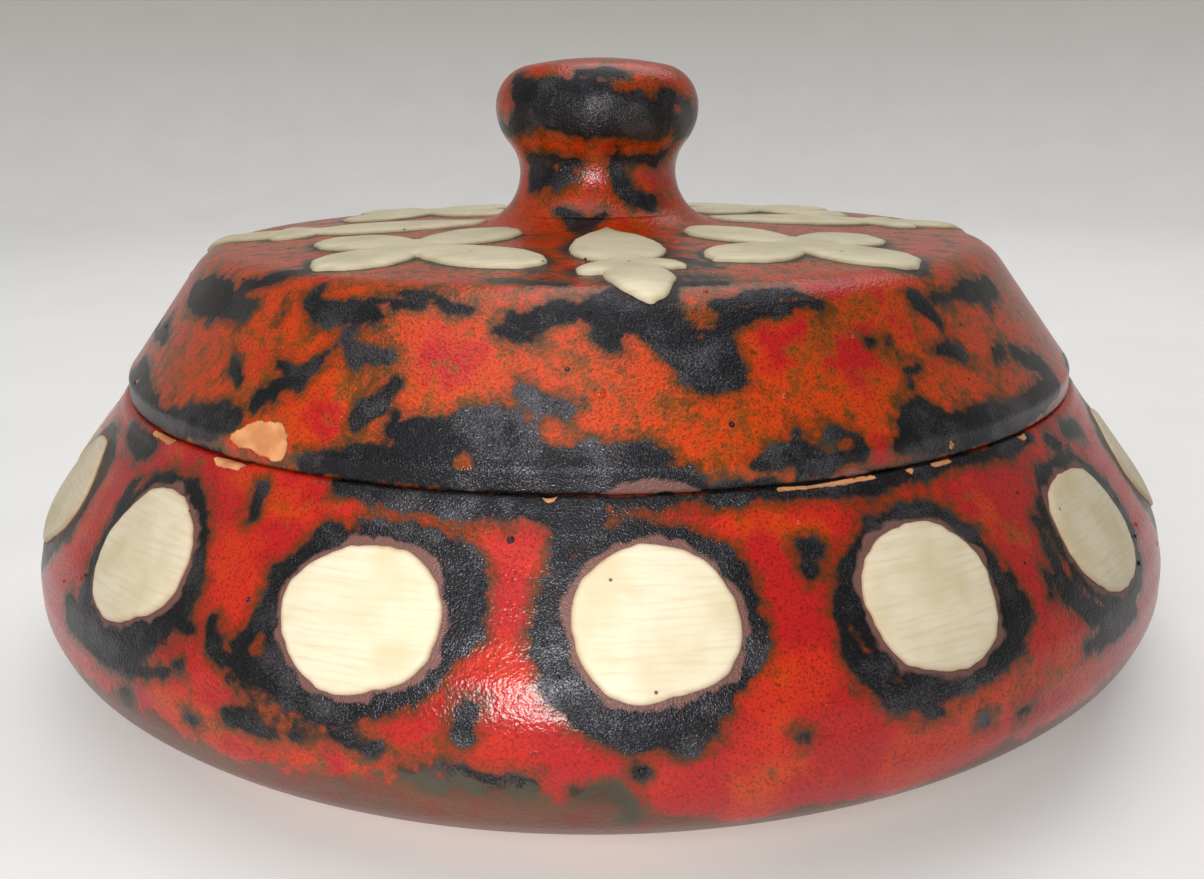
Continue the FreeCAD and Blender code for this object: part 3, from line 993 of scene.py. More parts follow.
# ways and lengths of the two side leaves
bud_sides = {"front": (-32.0, 52.0, 15.0, 13.0)}
even_sides = (-44.0, 44.0, 14.0, 14.0)
bud_middle = 62.0
bud_reach = 87.5
bud_heart = 3.0
hood_base, hood_tip, hood_width, hood_fullest = 66.0, 25.0, 18.0, 0.35
long_leaf_width, long_leaf_blunt = 11.6, 0.6
side_leaf_width = 7.0
leaf_fullest = 0.6
petal_edge = 0.25
petal_lift = 1.1
petal_swell = 4.6
worn_tip = 5.0
print("flowers:", len(flowers), "and buds:", len(buds))


# %% Draw the flowers' and the buds' outlines
def petal_rise(rim):
    climb = np.clip(rim / petal_swell, 0, 1)
    return petal_edge + (petal_lift - petal_edge) * np.sqrt(1 - (1 - climb) ** 2)


def flower_outline(name, seed):
    radius, azimuth, petals, width = flowers[name]
    middle = plan(radius, azimuth)
    tips = [middle + plan(length, way) for way, length in petals]
    leaves = [leaf(middle, tip, width, petal_fullest) for tip in tips]
    return middle, motif_outline(middle, leaves, heart_radius, seed), tips


def bud_outline(name, seed):
    azimuth = buds[name]
    middle = plan(bud_middle, azimuth)
    left, right, left_length, right_length = bud_sides.get(name, even_sides)
    tip = plan(bud_reach, azimuth + bud_lean.get(name, 0.0))
    leaves = [
        leaf(plan(hood_base, azimuth), plan(hood_tip, azimuth), hood_width, hood_fullest),
        leaf(middle, tip, long_leaf_width, leaf_fullest, long_leaf_blunt),
        leaf(middle, middle + plan(left_length, azimuth + left), side_leaf_width, leaf_fullest),
        leaf(middle, middle + plan(right_length, azimuth + right), side_leaf_width, leaf_fullest),
    ]
    return middle, motif_outline(middle, leaves, bud_heart, seed), [tip]


def tip_wear(tips, amount):
    """Wear that grows towards the tips, where the slip was rubbed off."""
    def wear(flat):
        gaps = np.min([np.hypot(*(flat - tip).T) for tip in tips], axis=0)
        return amount * np.clip(1 - gaps / worn_tip, 0, 1)
    return wear


motifs = {}
for seed, name in enumerate(flowers):
    motifs["flower_" + name] = flower_outline(name, 300 + seed)
for seed, name in enumerate(buds):
    motifs["bud_" + name] = bud_outline(name, 320 + seed)
print("motifs:", len(motifs), "each", MOTIF_STEPS, "points round")

# %% Lay the flowers and the buds on the lid
PETAL_WEAR = 0.55
LEAF_WEAR = 0.2
for node, (middle, loop, tips) in motifs.items():
    # on a flower, the two petals named first are the rubbed ones
    worn = tip_wear(tips[:2], PETAL_WEAR) if node.startswith("flower") else tip_wear(tips, LEAF_WEAR)
    name = node.replace("flower", "petals").replace("bud", "leaves")
    pad = slip_pad(name, loop, loop, middle, lay_on_lid, petal_rise, worn, petal_slip)
    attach(pad, "lid")
    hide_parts(node)
print("motifs on the lid:", ", ".join(motifs))

# %% [markdown]
# ## The bowl
# Turned, then painted: black round the spots and along the rim, with red fingers running down
# between them. Runs are counted down from the rim. The strokes that can be seen in the picture are
# listed one by one. Round the back the same habits are followed by chance, with a fixed seed.

# %% Brush strokes on the bowl
bowl_black = [
    # along the rim
    [(-23, 0, 1.5), (-18, .5, 2), (-12, 1.2, 2.4), (-6, 1.5, 2.4), (-1, 2.5, 3)],
    [(0, .5, 1.2), (10, .3, 1.2), (20, .6, 1.8), (24, 1, 1.6), (35, .3, 1), (42, 1, 1.8), (46, .5, 1)],
    [(-57, 2.5, 2), (-53, 3.2, 2.6), (-50.5, 4, 2.4), (-49, 2.5, 1.6)],
    [(49.5, 2.5, 2), (50.5, 6, 1.5)], [(54.5, 3, 2), (58, 5, 2.2)],
    # round the front spot
    [(-1.5, 3, 3), (-2.5, 7, 2.2), (-3.2, 12, 1.6), (-4, 17, 1.5), (-3.8, 22, 2.4), (-2.5, 27, 2.6),
     (-1, 31, 2.6), (1.5, 33.5, 2.8), (4.5, 33.8, 3), (6.3, 33, 2.8)],
    [(3, 6, 1.2), (6.5, 6.8, 1.4), (9, 9.5, 2), (10.5, 13, 1.6), (10.9, 18, 1.2), (10.6, 22, 1),
     (9.2, 26, 1.2), (8, 30, 1.6)],
    # round the spot left of it
    [(-23, 8.3, 1.3), (-20, 6.8, 1.2), (-15, 6.5, 1.5), (-11, 9, 2.5), (-9.5, 14, 2.6), (-9.8, 20, 2.6),
     (-11.5, 26, 2.2), (-14.5, 31, 2), (-19, 34.5, 3), (-24, 34, 3.2)],
    [(-24, 37.5, 1.6), (-20.5, 37.8, 1.5), (-17.5, 37.2, 1.4), (-15, 38, 1.2)],
    [(-25.7, 15, .9), (-25.8, 21, .9), (-26.5, 27.5, 2.2), (-26, 31, 3.2), (-23.5, 32, 2.6)],
    [(-28.6, 29.5, 1.4), (-26, 31, 2)], [(-8.8, 30.5, 1.3), (-9, 34.5, 1.8)],
    # round the spot right of the front
    [(19.6, 11, 1), (18.2, 16, 1.2), (17.3, 21, 1.5), (17.6, 26, 1.8), (18.9, 30, 2),
     (20.5, 33, 2.2), (23, 34.2, 2.2),
     (26, 33.6, 2), (29, 32, 2.2), (31.5, 29.5, 2.6), (33, 25.5, 2.6), (33.4, 21, 1.8)],
    [(22.5, 36, 1.4), (24, 37, 1)],
    # round the far right spot
    [(40.3, 14, 1), (39.9, 19, 1), (39.5, 23, 1.8), (39.2, 27, 2.2), (41, 31, 2), (44, 33.5, 1.6),
     (48, 34, 1.6),
     (51, 32, 2.2), (53.5, 27, 2.2), (55.3, 22, 1.6), (55.8, 17, 1.6), (54.5, 11, 1.4), (52, 7.8, 1.4)],
    [(37.7, 22.5, .7), (36.8, 26.5, .9)], [(40, 36, 1.3), (44, 37, 1.6), (49, 36, 1.6)],
    # round the far left spots
    [(-48.7, 10, 1.6), (-48.6, 16, 1.4), (-47.6, 22, 1.6), (-47, 27, 2), (-46.5, 31, 2.5),
     (-43.5, 34, 3.2),
     (-40, 34.8, 2.8), (-37, 33.5, 2.4), (-36, 31, 2)],
    [(-36.5, 8.5, 1.4), (-34.8, 12.5, 1.5), (-33.9, 17, 1.3), (-33.4, 22, 1.8), (-33.8, 26, 2.6),
     (-34.5, 29, 2)],
    [(-49.5, 34, 2.4), (-46.5, 36, 2.4), (-43, 37, 2.4), (-39, 36.5, 2.2), (-37, 36, 1.4)],
    [(-58.5, 9, 2.2), (-57, 13, 2.4), (-56.3, 18, 1.2), (-56, 24, 1.4), (-57.5, 28, 2),
     (-60.5, 32, 2.4), (-64, 36, 2.6)],
    # short marks between the fingers
    [(-30.7, 3, .9), (-30.4, 7.5, 1.3)], [(-30.2, 24.5, 1.2), (-29.6, 26.5, 1.3), (-29, 29, 1.2)],
    [(-33.5, 27, 1.8), (-31.5, 27, 1.2)], [(-36.8, 36.8, .7), (-34, 35.3, .9), (-32, 33, .6)],
    [(-26.5, 37.5, 2), (-23.5, 38, 2)], [(-30.5, 41, 1)], [(-38.5, 42.5, 1.8)],
    [(-13, 40, 1.4), (-10, 40.8, 2.2), (-7, 41.3, 1.8), (-4.6, 41.5, 1.2)],
    [(-1.6, 42.8, 1), (.4, 42.6, 1.2), (1.8, 45, .9), (1.9, 48, .8)],
    [(16.3, 9.5, 1.6)], [(15.8, 13, .9)], [(13.2, 37, 1.2)], [(2.5, 39.5, 1)], [(27.8, 41, 1)],
    [(31.7, 41, 1.8)],
]
bowl_chips = [
    [(-37, -.8, 2.2), (-34.8, -.8, 2.0)], [(-50, -.6, 1.4), (-46.5, -.5, 1.5)], [(-4.2, -.4, 1.2)],
    [(45, -.5, 1.5)],
    [(15, 0, .5), (18, -.2, .7), (21, 0, .6), (24, 0, .4)], [(28, 0, .7)], [(31, 0, .6), (33, 0, .5)],
]
bowl_warm = [
    [(-36, 36, 4), (-30, 41, 5), (-24, 41, 4)], [(-33, 4, 3), (-28, 6, 4), (-22, 4, 3)],
    [(24, 37, 4), (32, 37, 5), (40, 39, 4)],
    [(12, 5, 4), (17, 8, 4)], [(34, 8, 4), (37, 15, 4)], [(-21, 42, 3), (-13, 42, 3)],
    [(-47, 3, 3), (-40, 3, 3)],
    [(-55, 12, 3), (-52, 22, 3)], [(9, 44, 3), (13, 40, 3)],
    [(-27, 34, 4.5), (-23, 37, 5.5), (-18, 38.5, 5), (-12, 38.5, 4)],
]
bowl_worn = [
    [(-28, 32.5, 1.5), (-25.5, 35, 2.5), (-22.5, 36.5, 2.5), (-19.5, 38, 2)],
    [(-15.5, 36, 2), (-13, 38, 2.5), (-11, 40, 2)],
]
bowl_shore = [
    (-60, 45), (-45, 43.5), (-35, 42.5), (-30, 44), (-26, 45), (-22, 44), (-17, 42.5), (-12, 40),
    (-9, 39.5), (-6.6, 40.5),
    (-4, 41.5), (-2.6, 44.5), (-1, 40.5), (1, 41), (3, 45), (6, 48), (9.8, 52), (12, 50), (14, 48.5),
    (17, 49.5), (22, 52),
    (25.5, 49), (30, 47), (35, 46), (45, 45.5), (60, 45),
]
print("strokes of black on the front of the bowl:", len(bowl_black))

# %% Strokes round the back of the bowl
HAND_PAINTED = 68.0   # degrees either side of the front
SPOT_WALL = 115.0     # about the wall's radius at the spots, in mm
RING_AWAY = 14.5      # from a spot's middle to the brush, in mm
RING_STEP = 26        # degrees round the spot from touch to touch
RING_SQUASH = 0.92


def spots_behind():
    """Strokes of black round each spot that lies out of the picture."""
    draw = random.Random(41)
    strokes = []
    for azimuth, run, _, _ in spots.values():
        if abs(azimuth) < HAND_PAINTED:
            continue
        for _ in range(2):
            start = draw.uniform(0, 360)
            stroke = []
            for step in range(draw.randint(5, 9)):
                way = math.radians(start + step * RING_STEP)
                away = RING_AWAY + draw.uniform(-0.5, 1.5)
                aside = math.degrees(away * math.cos(way) / SPOT_WALL)
                down = away * math.sin(way) * RING_SQUASH
                stroke.append((azimuth + aside, run + down, draw.uniform(1.2, 3.0)))
            strokes.append(stroke)
        between = azimuth + 180 / spot_count + draw.uniform(-2, 2)
        strokes.append([(between, draw.uniform(2, 30), draw.uniform(0.7, 1.8))])
        rim = [(azimuth + step * 4, draw.uniform(0, 1.5), draw.uniform(0.6, 2.6)) for step in range(4)]
        strokes.append(rim)
        low = draw.uniform(37, 43)
        strokes.append([
            (azimuth + draw.uniform(-9, 9), low + drop, half) for drop, half in ((0, 1.5), (2, 2.0))
        ])
    return strokes


bowl_behind = spots_behind()
print("strokes of black round the back of the bowl:", len(bowl_behind))

# %% Turn the bowl and measure to its spots
STEPS_ROUND = 720
bowl = turn_on_wheel("glazed_bowl", bowl_outline, STEPS_ROUND, glaze)
skin = Skin(bowl, bowl_outline, bowl_run)


def gap_to_spots(skin):
    """Distance in mm from each point of the wall to the nearest spot's edge, negative under a spot."""
    best = np.full(len(skin.run), FAR)
    for azimuth, run, loop, _ in spots.values():
        middle = np.interp(run, wall_run, wall_line[:, 0])
        aside = np.radians(turn_from(skin.azimuth, azimuth)) * middle
        flat = np.stack([aside, skin.run - run], 1)
        near = np.flatnonzero((np.abs(flat) < FAR).all(1))
        gap = gap_to(flat[near], loop)
        gap[within(flat[near], loop)] *= -1
        best[near] = np.minimum(best[near], gap)
    return best


ring = gap_to_spots(skin)
print("bowl:", len(bowl.data.polygons), "faces,", (ring < 0).sum(), "points under its spots")

# %% Paint the bowl
SPOT_RING = 3.3       # mm of black round every spot
WORN_BLACK = 0.1      # level of black where it is worn thin
INSIDE_BLACK = -3.5   # level inside the pot, where little black fell
LIP_RUN = 3           # mm past the rim's round where the inside begins
SHORE_WANDER = 0.8    # mm that the glaze's lower shore strays
FOOT_BARE = 68.0      # run at which the foot was wiped bare, and how far that strays
FOOT_WANDER = 2.5
WARM_FADE = 6         # mm from the edge of a warm stroke to full rust
COOLEST = -0.25       # warmth away from every warm stroke
black = skin.inside(bowl_black + bowl_behind)
black = np.minimum(black, WORN_BLACK - np.minimum(skin.inside(bowl_worn), 0))
black = np.maximum(black, SPOT_RING - np.abs(ring))
inside = skin.run < -rim_touch - LIP_RUN
black[inside] = INSIDE_BLACK + 2 * wander(skin.azimuth[inside], (3, 5, 8), 7)
shore = np.interp(skin.azimuth, *np.array(bowl_shore).T)
shore = shore + SHORE_WANDER * wander(skin.azimuth, (9, 15, 22), 11)
# azimuth of each drip behind, with its spread in degrees and its extra length in mm
for azimuth, spread, extra in ((100, 6, 4), (150, 4, 5), (-110, 5, 4), (-160, 4, 4)):
    shore = shore + extra * np.exp(-(turn_from(skin.azimuth, azimuth) / spread) ** 2)
thin = skin.run - shore
bare_from = FOOT_BARE + FOOT_WANDER * wander(skin.azimuth, (5, 7, 12), 13)
chip = skin.inside(bowl_chips)
chip[inside] = -FAR
clay = np.maximum(chip, np.clip(skin.run - bare_from, -FAR, FAR))
warm = np.maximum(skin.inside(bowl_warm) / WARM_FADE, COOLEST)
skin.keep(black=black, warm=warm, ring=ring, clay=clay, thin=thin)
print("black covers", round(100 * (black > 0).mean()), "in 100 of the bowl's points")

# %% Press in the bowl's chips, wobble and throwing rings
WALL_WOBBLE = 0.12    # mm that the hand strayed, and that a throwing ring is deep
THROWN_RING = 0.05
RING_PITCH = 1.1      # radians of a throwing ring to the mm
WOBBLE_RUNS = (2, 60)
BOWL_CHIP = 0.45      # mm that a chip is deep at most
wobble = WALL_WOBBLE * (1 + wander(skin.azimuth, (2, 3, 5), 17))
wobble += THROWN_RING * (1 + np.sin(skin.run * RING_PITCH))
wobble[skin.run < WOBBLE_RUNS[0]] = 0
skin.press(np.clip(chip, 0, BOWL_CHIP) + wobble * (skin.run < WOBBLE_RUNS[1]))
bowl_skin = skin
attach(bowl, "bowl")
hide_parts("bowl")
print("the bowl's wall strays by up to", round(wobble.max(), 2), "mm")

# %% [markdown]
# ## The lid
# The lid is painted the same way. Its run is counted from the lower edge, up the band and the side,
# over the corner and in across the dome, which puts its black patches where the brush left them.
# The foot of the knob flares out of the lid, so the knob's strokes are needed here already.

# %% Brush strokes on the lid
lid_black = [
    # band along the lower edge
    [(-66, 4, 3.2), (-60, 4.2, 3.4), (-55, 3.6, 3.2), (-50, 3, 2.8), (-45, 3.2, 3),
     (-41.5, 5.5, 3.4), (-38.5, 6.8, 3), (-36.5, 7.5, 2)],
    [(-26.5, 2.2, 1.6), (-23, 3, 2.4), (-20, 3.5, 3.2), (-15, 4.5, 4.2), (-11, 5, 4.6),
     (-6, 4.5, 4.4), (-1, 4.2, 4.2),
     (3, 4, 3.6), (6.5, 2.6, 2.4), (8.5, 1, 1)],
    [(-16.5, 8.5, 2.4), (-12.5, 9.5, 3.4), (-9, 11, 3.2), (-7, 10.5, 3), (-6, 13, 1.4)],
    [(-7, 17, 1.2), (-5.5, 15.5, 1.5), (-3.2, 14, 1.6)],
    [(-3, 6.5, 1.6), (1.5, 7.6, 1.6), (4, 7, 1.6), (6, 5.5, 1.2)],
    [(-18.5, 12, 1.6), (-18.8, 8.5, 1.5), (-16.8, 10, 2)],
    [(-19.5, 17.5, 1.4), (-20.5, 14, 2.2), (-22, 11, 1.6)],
    # patches under the left corner
    [(-62, 27, 2.2), (-58, 27, 3.8), (-54, 27.5, 4.6), (-50, 27, 4.2), (-46.5, 26.5, 2.4),
     (-43, 26.8, 1.6)],
    [(-47, 31, 1), (-44.5, 32, 1.6), (-42, 34, 1.8), (-40, 37, 1.4)],
    [(-33, 33, .8), (-33, 30.5, 2), (-31.5, 28.5, 2), (-29, 28.5, 2.2), (-26, 28.6, 2.4),
     (-24, 28.8, 2)],
    [(-25, 31.3, .7), (-21, 31.2, .9), (-17, 31.2, .8), (-13.5, 30.6, .6)],
    [(-22, 33.4, .6), (-19.5, 33.2, .9), (-16.5, 32.4, .6)],
    [(-26.5, 26, 1), (-26.6, 23.5, 1.2), (-24, 21.4, 1.6), (-21.5, 21.5, 1.2)],
    [(-27.5, 22.5, 1.4), (-28.8, 19.5, 1.2), (-30.6, 16.5, 1.6), (-32.5, 14, 1.8), (-34, 12, 2),
     (-34.5, 10.5, 1.4)],
    [(-34, 18.5, 1), (-32, 17, 1.3), (-30, 15.5, 1.4)], [(-36.5, 27, .8)],
    [(-41, 17, 1.1), (-38.5, 14, 1)],
    # the large patch below the front bud
    [(-8.5, 29.5, 1.2), (-7, 28.5, 2), (-5, 30.4, 1.8), (-2, 31, 2.2), (1, 30.5, 3.4), (4, 29.5, 4),
     (6, 28, 3.6)],
    [(1, 26.5, 2.4), (2, 24.2, 1.4)], [(6.5, 27, 3.4), (8, 24, 3.6), (9.5, 21, 3.8), (10, 18.5, 3)],
    [(11.5, 25, 2.4), (12.3, 21.5, 2.4), (12.8, 18, 1.8)],
    [(-10, 27, 1), (-8, 26.5, 1.2), (-6.7, 26.2, 1)],
    [(9.5, 26.8, 1.4), (12.5, 27.5, 1.6), (15, 29, 1.5), (18, 30, 1.3), (21, 30.3, 1.2),
     (24, 30.2, .7)],
    [(12, 31, .8), (15.5, 31.8, 1.2), (19, 32.8, 1.5), (22, 32, 1.2), (23.5, 31, .8)],
    [(2, 36, 1.2), (1, 33, 1.6)], [(8.4, 36, 1), (7.6, 32.8, 1)], [(-7.3, 38, .8), (-7, 42, .9)],
    [(8.5, 38, 1.2), (11, 37.5, 1.5), (14, 37, 1)], [(9, 43, 1.5), (12, 41.5, 1.6), (15, 41, 1)],
    [(-4, 38, 1), (-9, 40, 1.6), (-13, 40.5, 1)],
    [(-13, 60, 1.5), (-10, 54, 2), (-9, 48, 1.5)], [(14, 60, 1), (15, 54, 2), (17, 48, 1)],
    # right of the front, low
    [(13, 4, 1.2), (15, 5, 1.6), (17, 5.5, 2.6), (18, 3.5, 2.4), (19.5, 2.2, 1.6)], [(17.3, 8.5, 1.4)],
    [(20.7, 8, 1.2), (21.3, 8.3, 1), (23, 6.2, 1.1), (22.8, 4, 1.2), (20.5, 3.6, 1)],
    [(9, .6, 1), (14, 1, 1.2)],
    [(27, 4.5, 1.6), (29, 6.5, 3), (30.8, 9, 3), (31.5, 6, 4.5), (34, 5, 3.6), (37, 4.5, 3.6),
     (40, 4.5, 3.6), (43, 4, 3), (46, 3.5, 3),
     (50, 5, 3), (56, 6, 3.4)],
    # right of the front, high
    [(37.5, 29, 2), (38.5, 26.5, 1.8), (39.3, 23.5, .7), (39.2, 21.5, .6)],
    [(40.5, 28.5, 1.1), (43, 28.2, .8), (46, 28.8, 1.4), (49, 28, 2.4), (52, 27, 2.6),
     (56, 28, 2.2)], [(51.5, 24.5, 1.6)],
    [(36.5, 19.3, .8), (38.5, 18.8, 1.2), (40, 17.2, 1.3)], [(46.5, 15.5, 1.3), (48.2, 15.8, 1)],
    [(51, 14.5, 1.6), (53, 12, 2), (56, 9, 3)], [(28.3, 22.5, .7)], [(30.8, 22.3, .8)],
    [(31.4, 16.6, .9), (33, 16.6, .9)], [(31.2, 14, .8)],
]
lid_red = [
    [(-11.5, 5.3, 1.3)], [(-6.2, 13.3, 1.1)], [(21.3, 5.6, 1.0)], [(44, 8, 1.6)], [(-47, 28.6, 0.9)],
    [(16, 2, 1.1)], [(10.5, 29, 1.3), (11.5, 28, 1)],
]
lid_chips = [
    [(-35.2, 4.4, 1.5), (-33, 5.6, 2.6), (-31, 5.2, 3.2), (-30.3, 4.6, 2.8)], [(-61, 6, .7)],
    [(33.4, 3, .5)],
]
lid_crimson = [
    [(-18, 25, 3), (-14, 22, 4)], [(-30, 12, 3), (-25, 8, 4)], [(19, 26, 2), (16, 21, 4)],
    [(27, 22, 3), (25, 16, 4)],
    [(-8, 20, 1.5)], [(24.5, 3, 2)], [(34, 24, 2)], [(26, 34, 3), (36, 34, 3)],
    [(-40, 33, 2), (-34, 35, 2)],
]
lid_mauve = [
    [(0, .8, .5), (4.5, 1.6, 1.4), (8, .6, .4)], [(-12, .8, .5), (-10.5, 1, .5)],
    [(20, 1, .6), (24, 1, .7)],
]
print("strokes of black on the front of the lid:", len(lid_black))

# %% Brush strokes on the knob
knob_black = [
    [(-46, 34, 5), (-25, 34, 5.5), (-5, 33, 6.5), (15, 31, 4.5), (30, 30, 4.5), (45, 31, 4),
     (60, 29, 4), (78, 29, 3)],
    [(-10, 40.5, 1.5), (5, 40.5, 2), (12, 40, 1.5)],
    [(20, 35.5, 1.2), (35, 34.5, 1.8), (45, 35.5, 1.5)],
    [(-80, 28.5, 1.5), (-60, 28, 1.8), (-48, 30, 2)], [(-60, 40, 1.5), (-48, 38, 2)],
    [(-55, 21, 1.2), (-35, 21, 1), (-15, 20.5, 1.2)],
    [(-50, 17, 3), (-40, 18, 2.5), (-30, 17, 2), (-22, 18.5, 2)],
    [(12, 24, 1.2), (12, 20, 1.5), (14, 16.5, 2.2), (20, 13.5, 1.6)],
    [(15, 21, 1.2), (30, 21.2, 1), (45, 20.3, 1.5), (55, 22.8, 1.4)],
    [(28, 12.2, 1.6), (32, 11, 1.2), (40, 12.5, .8)],
    [(-24, 10, .8), (-17, 8.5, 1.6), (-11, 6.5, 2.4), (-5, 6.5, 2.2), (-1, 7.5, 1.6), (3, 8.5, .8)],
    [(-10, 4, 1.5), (-5, 2.5, 1.5)],
    [(110, 31, 4), (140, 33, 3), (165, 30, 5), (195, 32, 4), (225, 30, 5), (262, 32, 4)],
    [(130, 20, 2), (150, 16, 1.5)],
    [(210, 21, 1.5), (240, 17, 2.2)], [(100, 40, 1.5), (125, 42, 1.5)], [(200, 41, 2), (228, 40, 1.5)],
]
knob_red = [
    [(-60, 33.5, 3.4)], [(-33, 28, 1.4)], [(22, 38, 2), (32, 37.5, 2.4)], [(12, 36.8, .9)],
    [(50, 32.5, 1.2)], [(47, 27.8, .8)], [(30, 17, 2.2), (42, 15.5, 1.6)],
]
print("strokes of black on the knob:", len(knob_black))

# %% Patches round the back of the lid
PATCHES_BEHIND = 34
PATCH_RUNS = (3, 5, 9, 15, 21, 27, 29, 31)


def patches_behind():
    """Patches of black on the part of the lid that lies out of the picture."""
    draw = random.Random(57)
    strokes = []
    for _ in range(PATCHES_BEHIND):
        azimuth = draw.uniform(60, 300)
        run = draw.choice(PATCH_RUNS)
        stroke = []
        for _ in range(draw.randint(2, 6)):
            stroke.append((azimuth, run, draw.uniform(0.8, 3.4)))
            azimuth += draw.uniform(1.5, 4.5)
            run += draw.uniform(-2.5, 2.5)
        strokes.append(stroke)
    return strokes


lid_behind = patches_behind()
print("the longest patch round the back has", max(map(len, lid_behind)), "stops")

# %% Turn the lid and measure to its flowers and buds
MOTIF_REACH = 45      # mm from a motif's middle, and run from the edge, where its ring can lie
MOTIF_RUN = 20
lid = turn_on_wheel("glazed_lid", lid_outline, STEPS_ROUND, glaze)
skin = Skin(lid, lid_outline, lid_run)
flat = skin.points[:, :2]
gap = np.full(len(flat), FAR)
for middle, loop, _ in motifs.values():
    near = np.flatnonzero((np.abs(flat - middle) < MOTIF_REACH).all(1) & (skin.run > MOTIF_RUN))
    gap[near] = np.minimum(gap[near], gap_to(flat[near], loop))
print("lid:", len(lid.data.polygons), "faces, with points as near as", round(gap.min(), 2), "mm to a motif")

# %% Paint the lid
MOTIF_RING = 1.1      # mm of black round every flower and bud
EDGE_BLACK_AND_SHADE = 0.6      # mm of black along the lower edge, part the glaze's own and part painted shade of the seam, and how far it strays
EDGE_WANDER = 0.9
SEAM_SHADE_BLACK = 1.5     # level of black under the lid, painted shade that darkens the seam, and how far the glaze was carried round the edge
UNDER_GLAZED = 2.5
LID_WARM = 0.6        # warmth at the edge of a crimson stroke
CRIMSON_FADE = 8      # mm into the stroke for each 1 of warmth lost
CRIMSON_REACH = 3     # mm outside it where the warmth stops rising
TOP_RUN = 36          # run at which the top begins, which is a little redder and browner
TOP_FADE = 3
TOP_COOLER = 0.2
NOT_THIN = -6.0       # level of umber on the side, and how much the top adds to it
TOP_THIN = 5.2
FLARE_FADE = 4        # mm over which the lid's red becomes the knob's
KNOB_WARM = 0.75
MAUVE_EDGE = 1.2      # level at the edge of a mauve stroke
black = np.minimum(skin.inside(lid_black + lid_behind), -skin.inside(lid_red))
black = np.maximum(black, MOTIF_RING - gap)
# black along the lower edge: partly the glaze's own, partly painted shade where the lid sits on the bowl
edge = EDGE_BLACK_AND_SHADE + EDGE_WANDER * wander(skin.azimuth, (5, 9, 14), 23)
black = np.maximum(black, edge - np.abs(skin.run))
flare = skin.run > flare_run
on_flare = np.minimum(skin.inside(knob_black, flare_run), -skin.inside(knob_red, flare_run))
black = np.where(flare, on_flare, black)
under = skin.run < 0
# painted shade: all of the lid's underside is black, so the seam between lid and bowl looks dark
black[under] = SEAM_SHADE_BLACK
chip = skin.inside(lid_chips)
clay = np.where(under, np.clip(-skin.run - UNDER_GLAZED, -FAR, FAR), chip)
warm = LID_WARM - np.maximum(skin.inside(lid_crimson), -CRIMSON_REACH) / CRIMSON_FADE
top = np.clip((skin.run - TOP_RUN) / TOP_FADE, 0, 1)
rise = np.clip((skin.run - flare_run) / FLARE_FADE, 0, 1)
warm = (warm - TOP_COOLER * top) * (1 - rise) + KNOB_WARM * rise
thin = NOT_THIN + TOP_THIN * top * (1 - rise)
mauve = MAUVE_EDGE - skin.inside(lid_mauve)
skin.keep(black=black, warm=warm, ring=mauve, clay=clay, thin=thin)
print("black covers", round(100 * (black > 0).mean()), "in 100 of the lid's points")

# %% Press in the lid's chips and wobble
LID_WOBBLE = 0.10     # mm that the side strays, the runs where that has grown to all and ends
WOBBLE_GROWN, WOBBLE_END = 8, 34
LID_CHIP = 0.5        # mm that a chip is deep at most
wobble = LID_WOBBLE * (1 + wander(skin.azimuth, (2, 3, 5), 19))
wobble = wobble * np.clip(skin.run / WOBBLE_GROWN, 0, 1) * (skin.run < WOBBLE_END)
skin.press(np.clip(chip, 0, LID_CHIP) + wobble)
lid_skin = skin
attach(lid, "lid")
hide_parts("lid")
print("the lid's side strays by up to", round(wobble.max(), 2), "mm")

# %% [markdown]
# ## The knob and the flange
# The knob has a black band round its head, broken by orange islands, and a red neck. Its run is
# counted from the foot of the flare. The flange is bare clay and hidden until the lid is lifted.

# %% Turn and paint the knob
KNOB_STEPS = 300
knob = turn_on_wheel("glazed_knob", knob_outline, KNOB_STEPS, glaze)
skin = Skin(knob, knob_outline, knob_run)
black = np.minimum(skin.inside(knob_black), -skin.inside(knob_red))
none = np.full(len(black), -FAR)
warm = np.full(len(black), KNOB_WARM)
skin.keep(black=black, warm=warm, ring=-none, clay=none, thin=none)
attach(knob, "lid")
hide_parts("knob")
print("knob:", len(knob.data.polygons), "faces")

# %% Turn the flange
FLANGE_STEPS = 360
flange = turn_on_wheel("centring_flange", flange_outline, FLANGE_STEPS, terracotta)
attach(flange, "lid")
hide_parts("lid_flange")
print("flange:", len(flange.data.polygons), "faces")

# %% [markdown]
# ## Blisters
# Gas from the clay left beads in the glaze, and craters where a bubble burst. They are far too many
# and too alike to place as objects, so a Geometry Nodes tree copies one bead or one crater to every
# place in a list, stands it on the wall and sizes it. Each copy keeps the paint of the spot it is on.

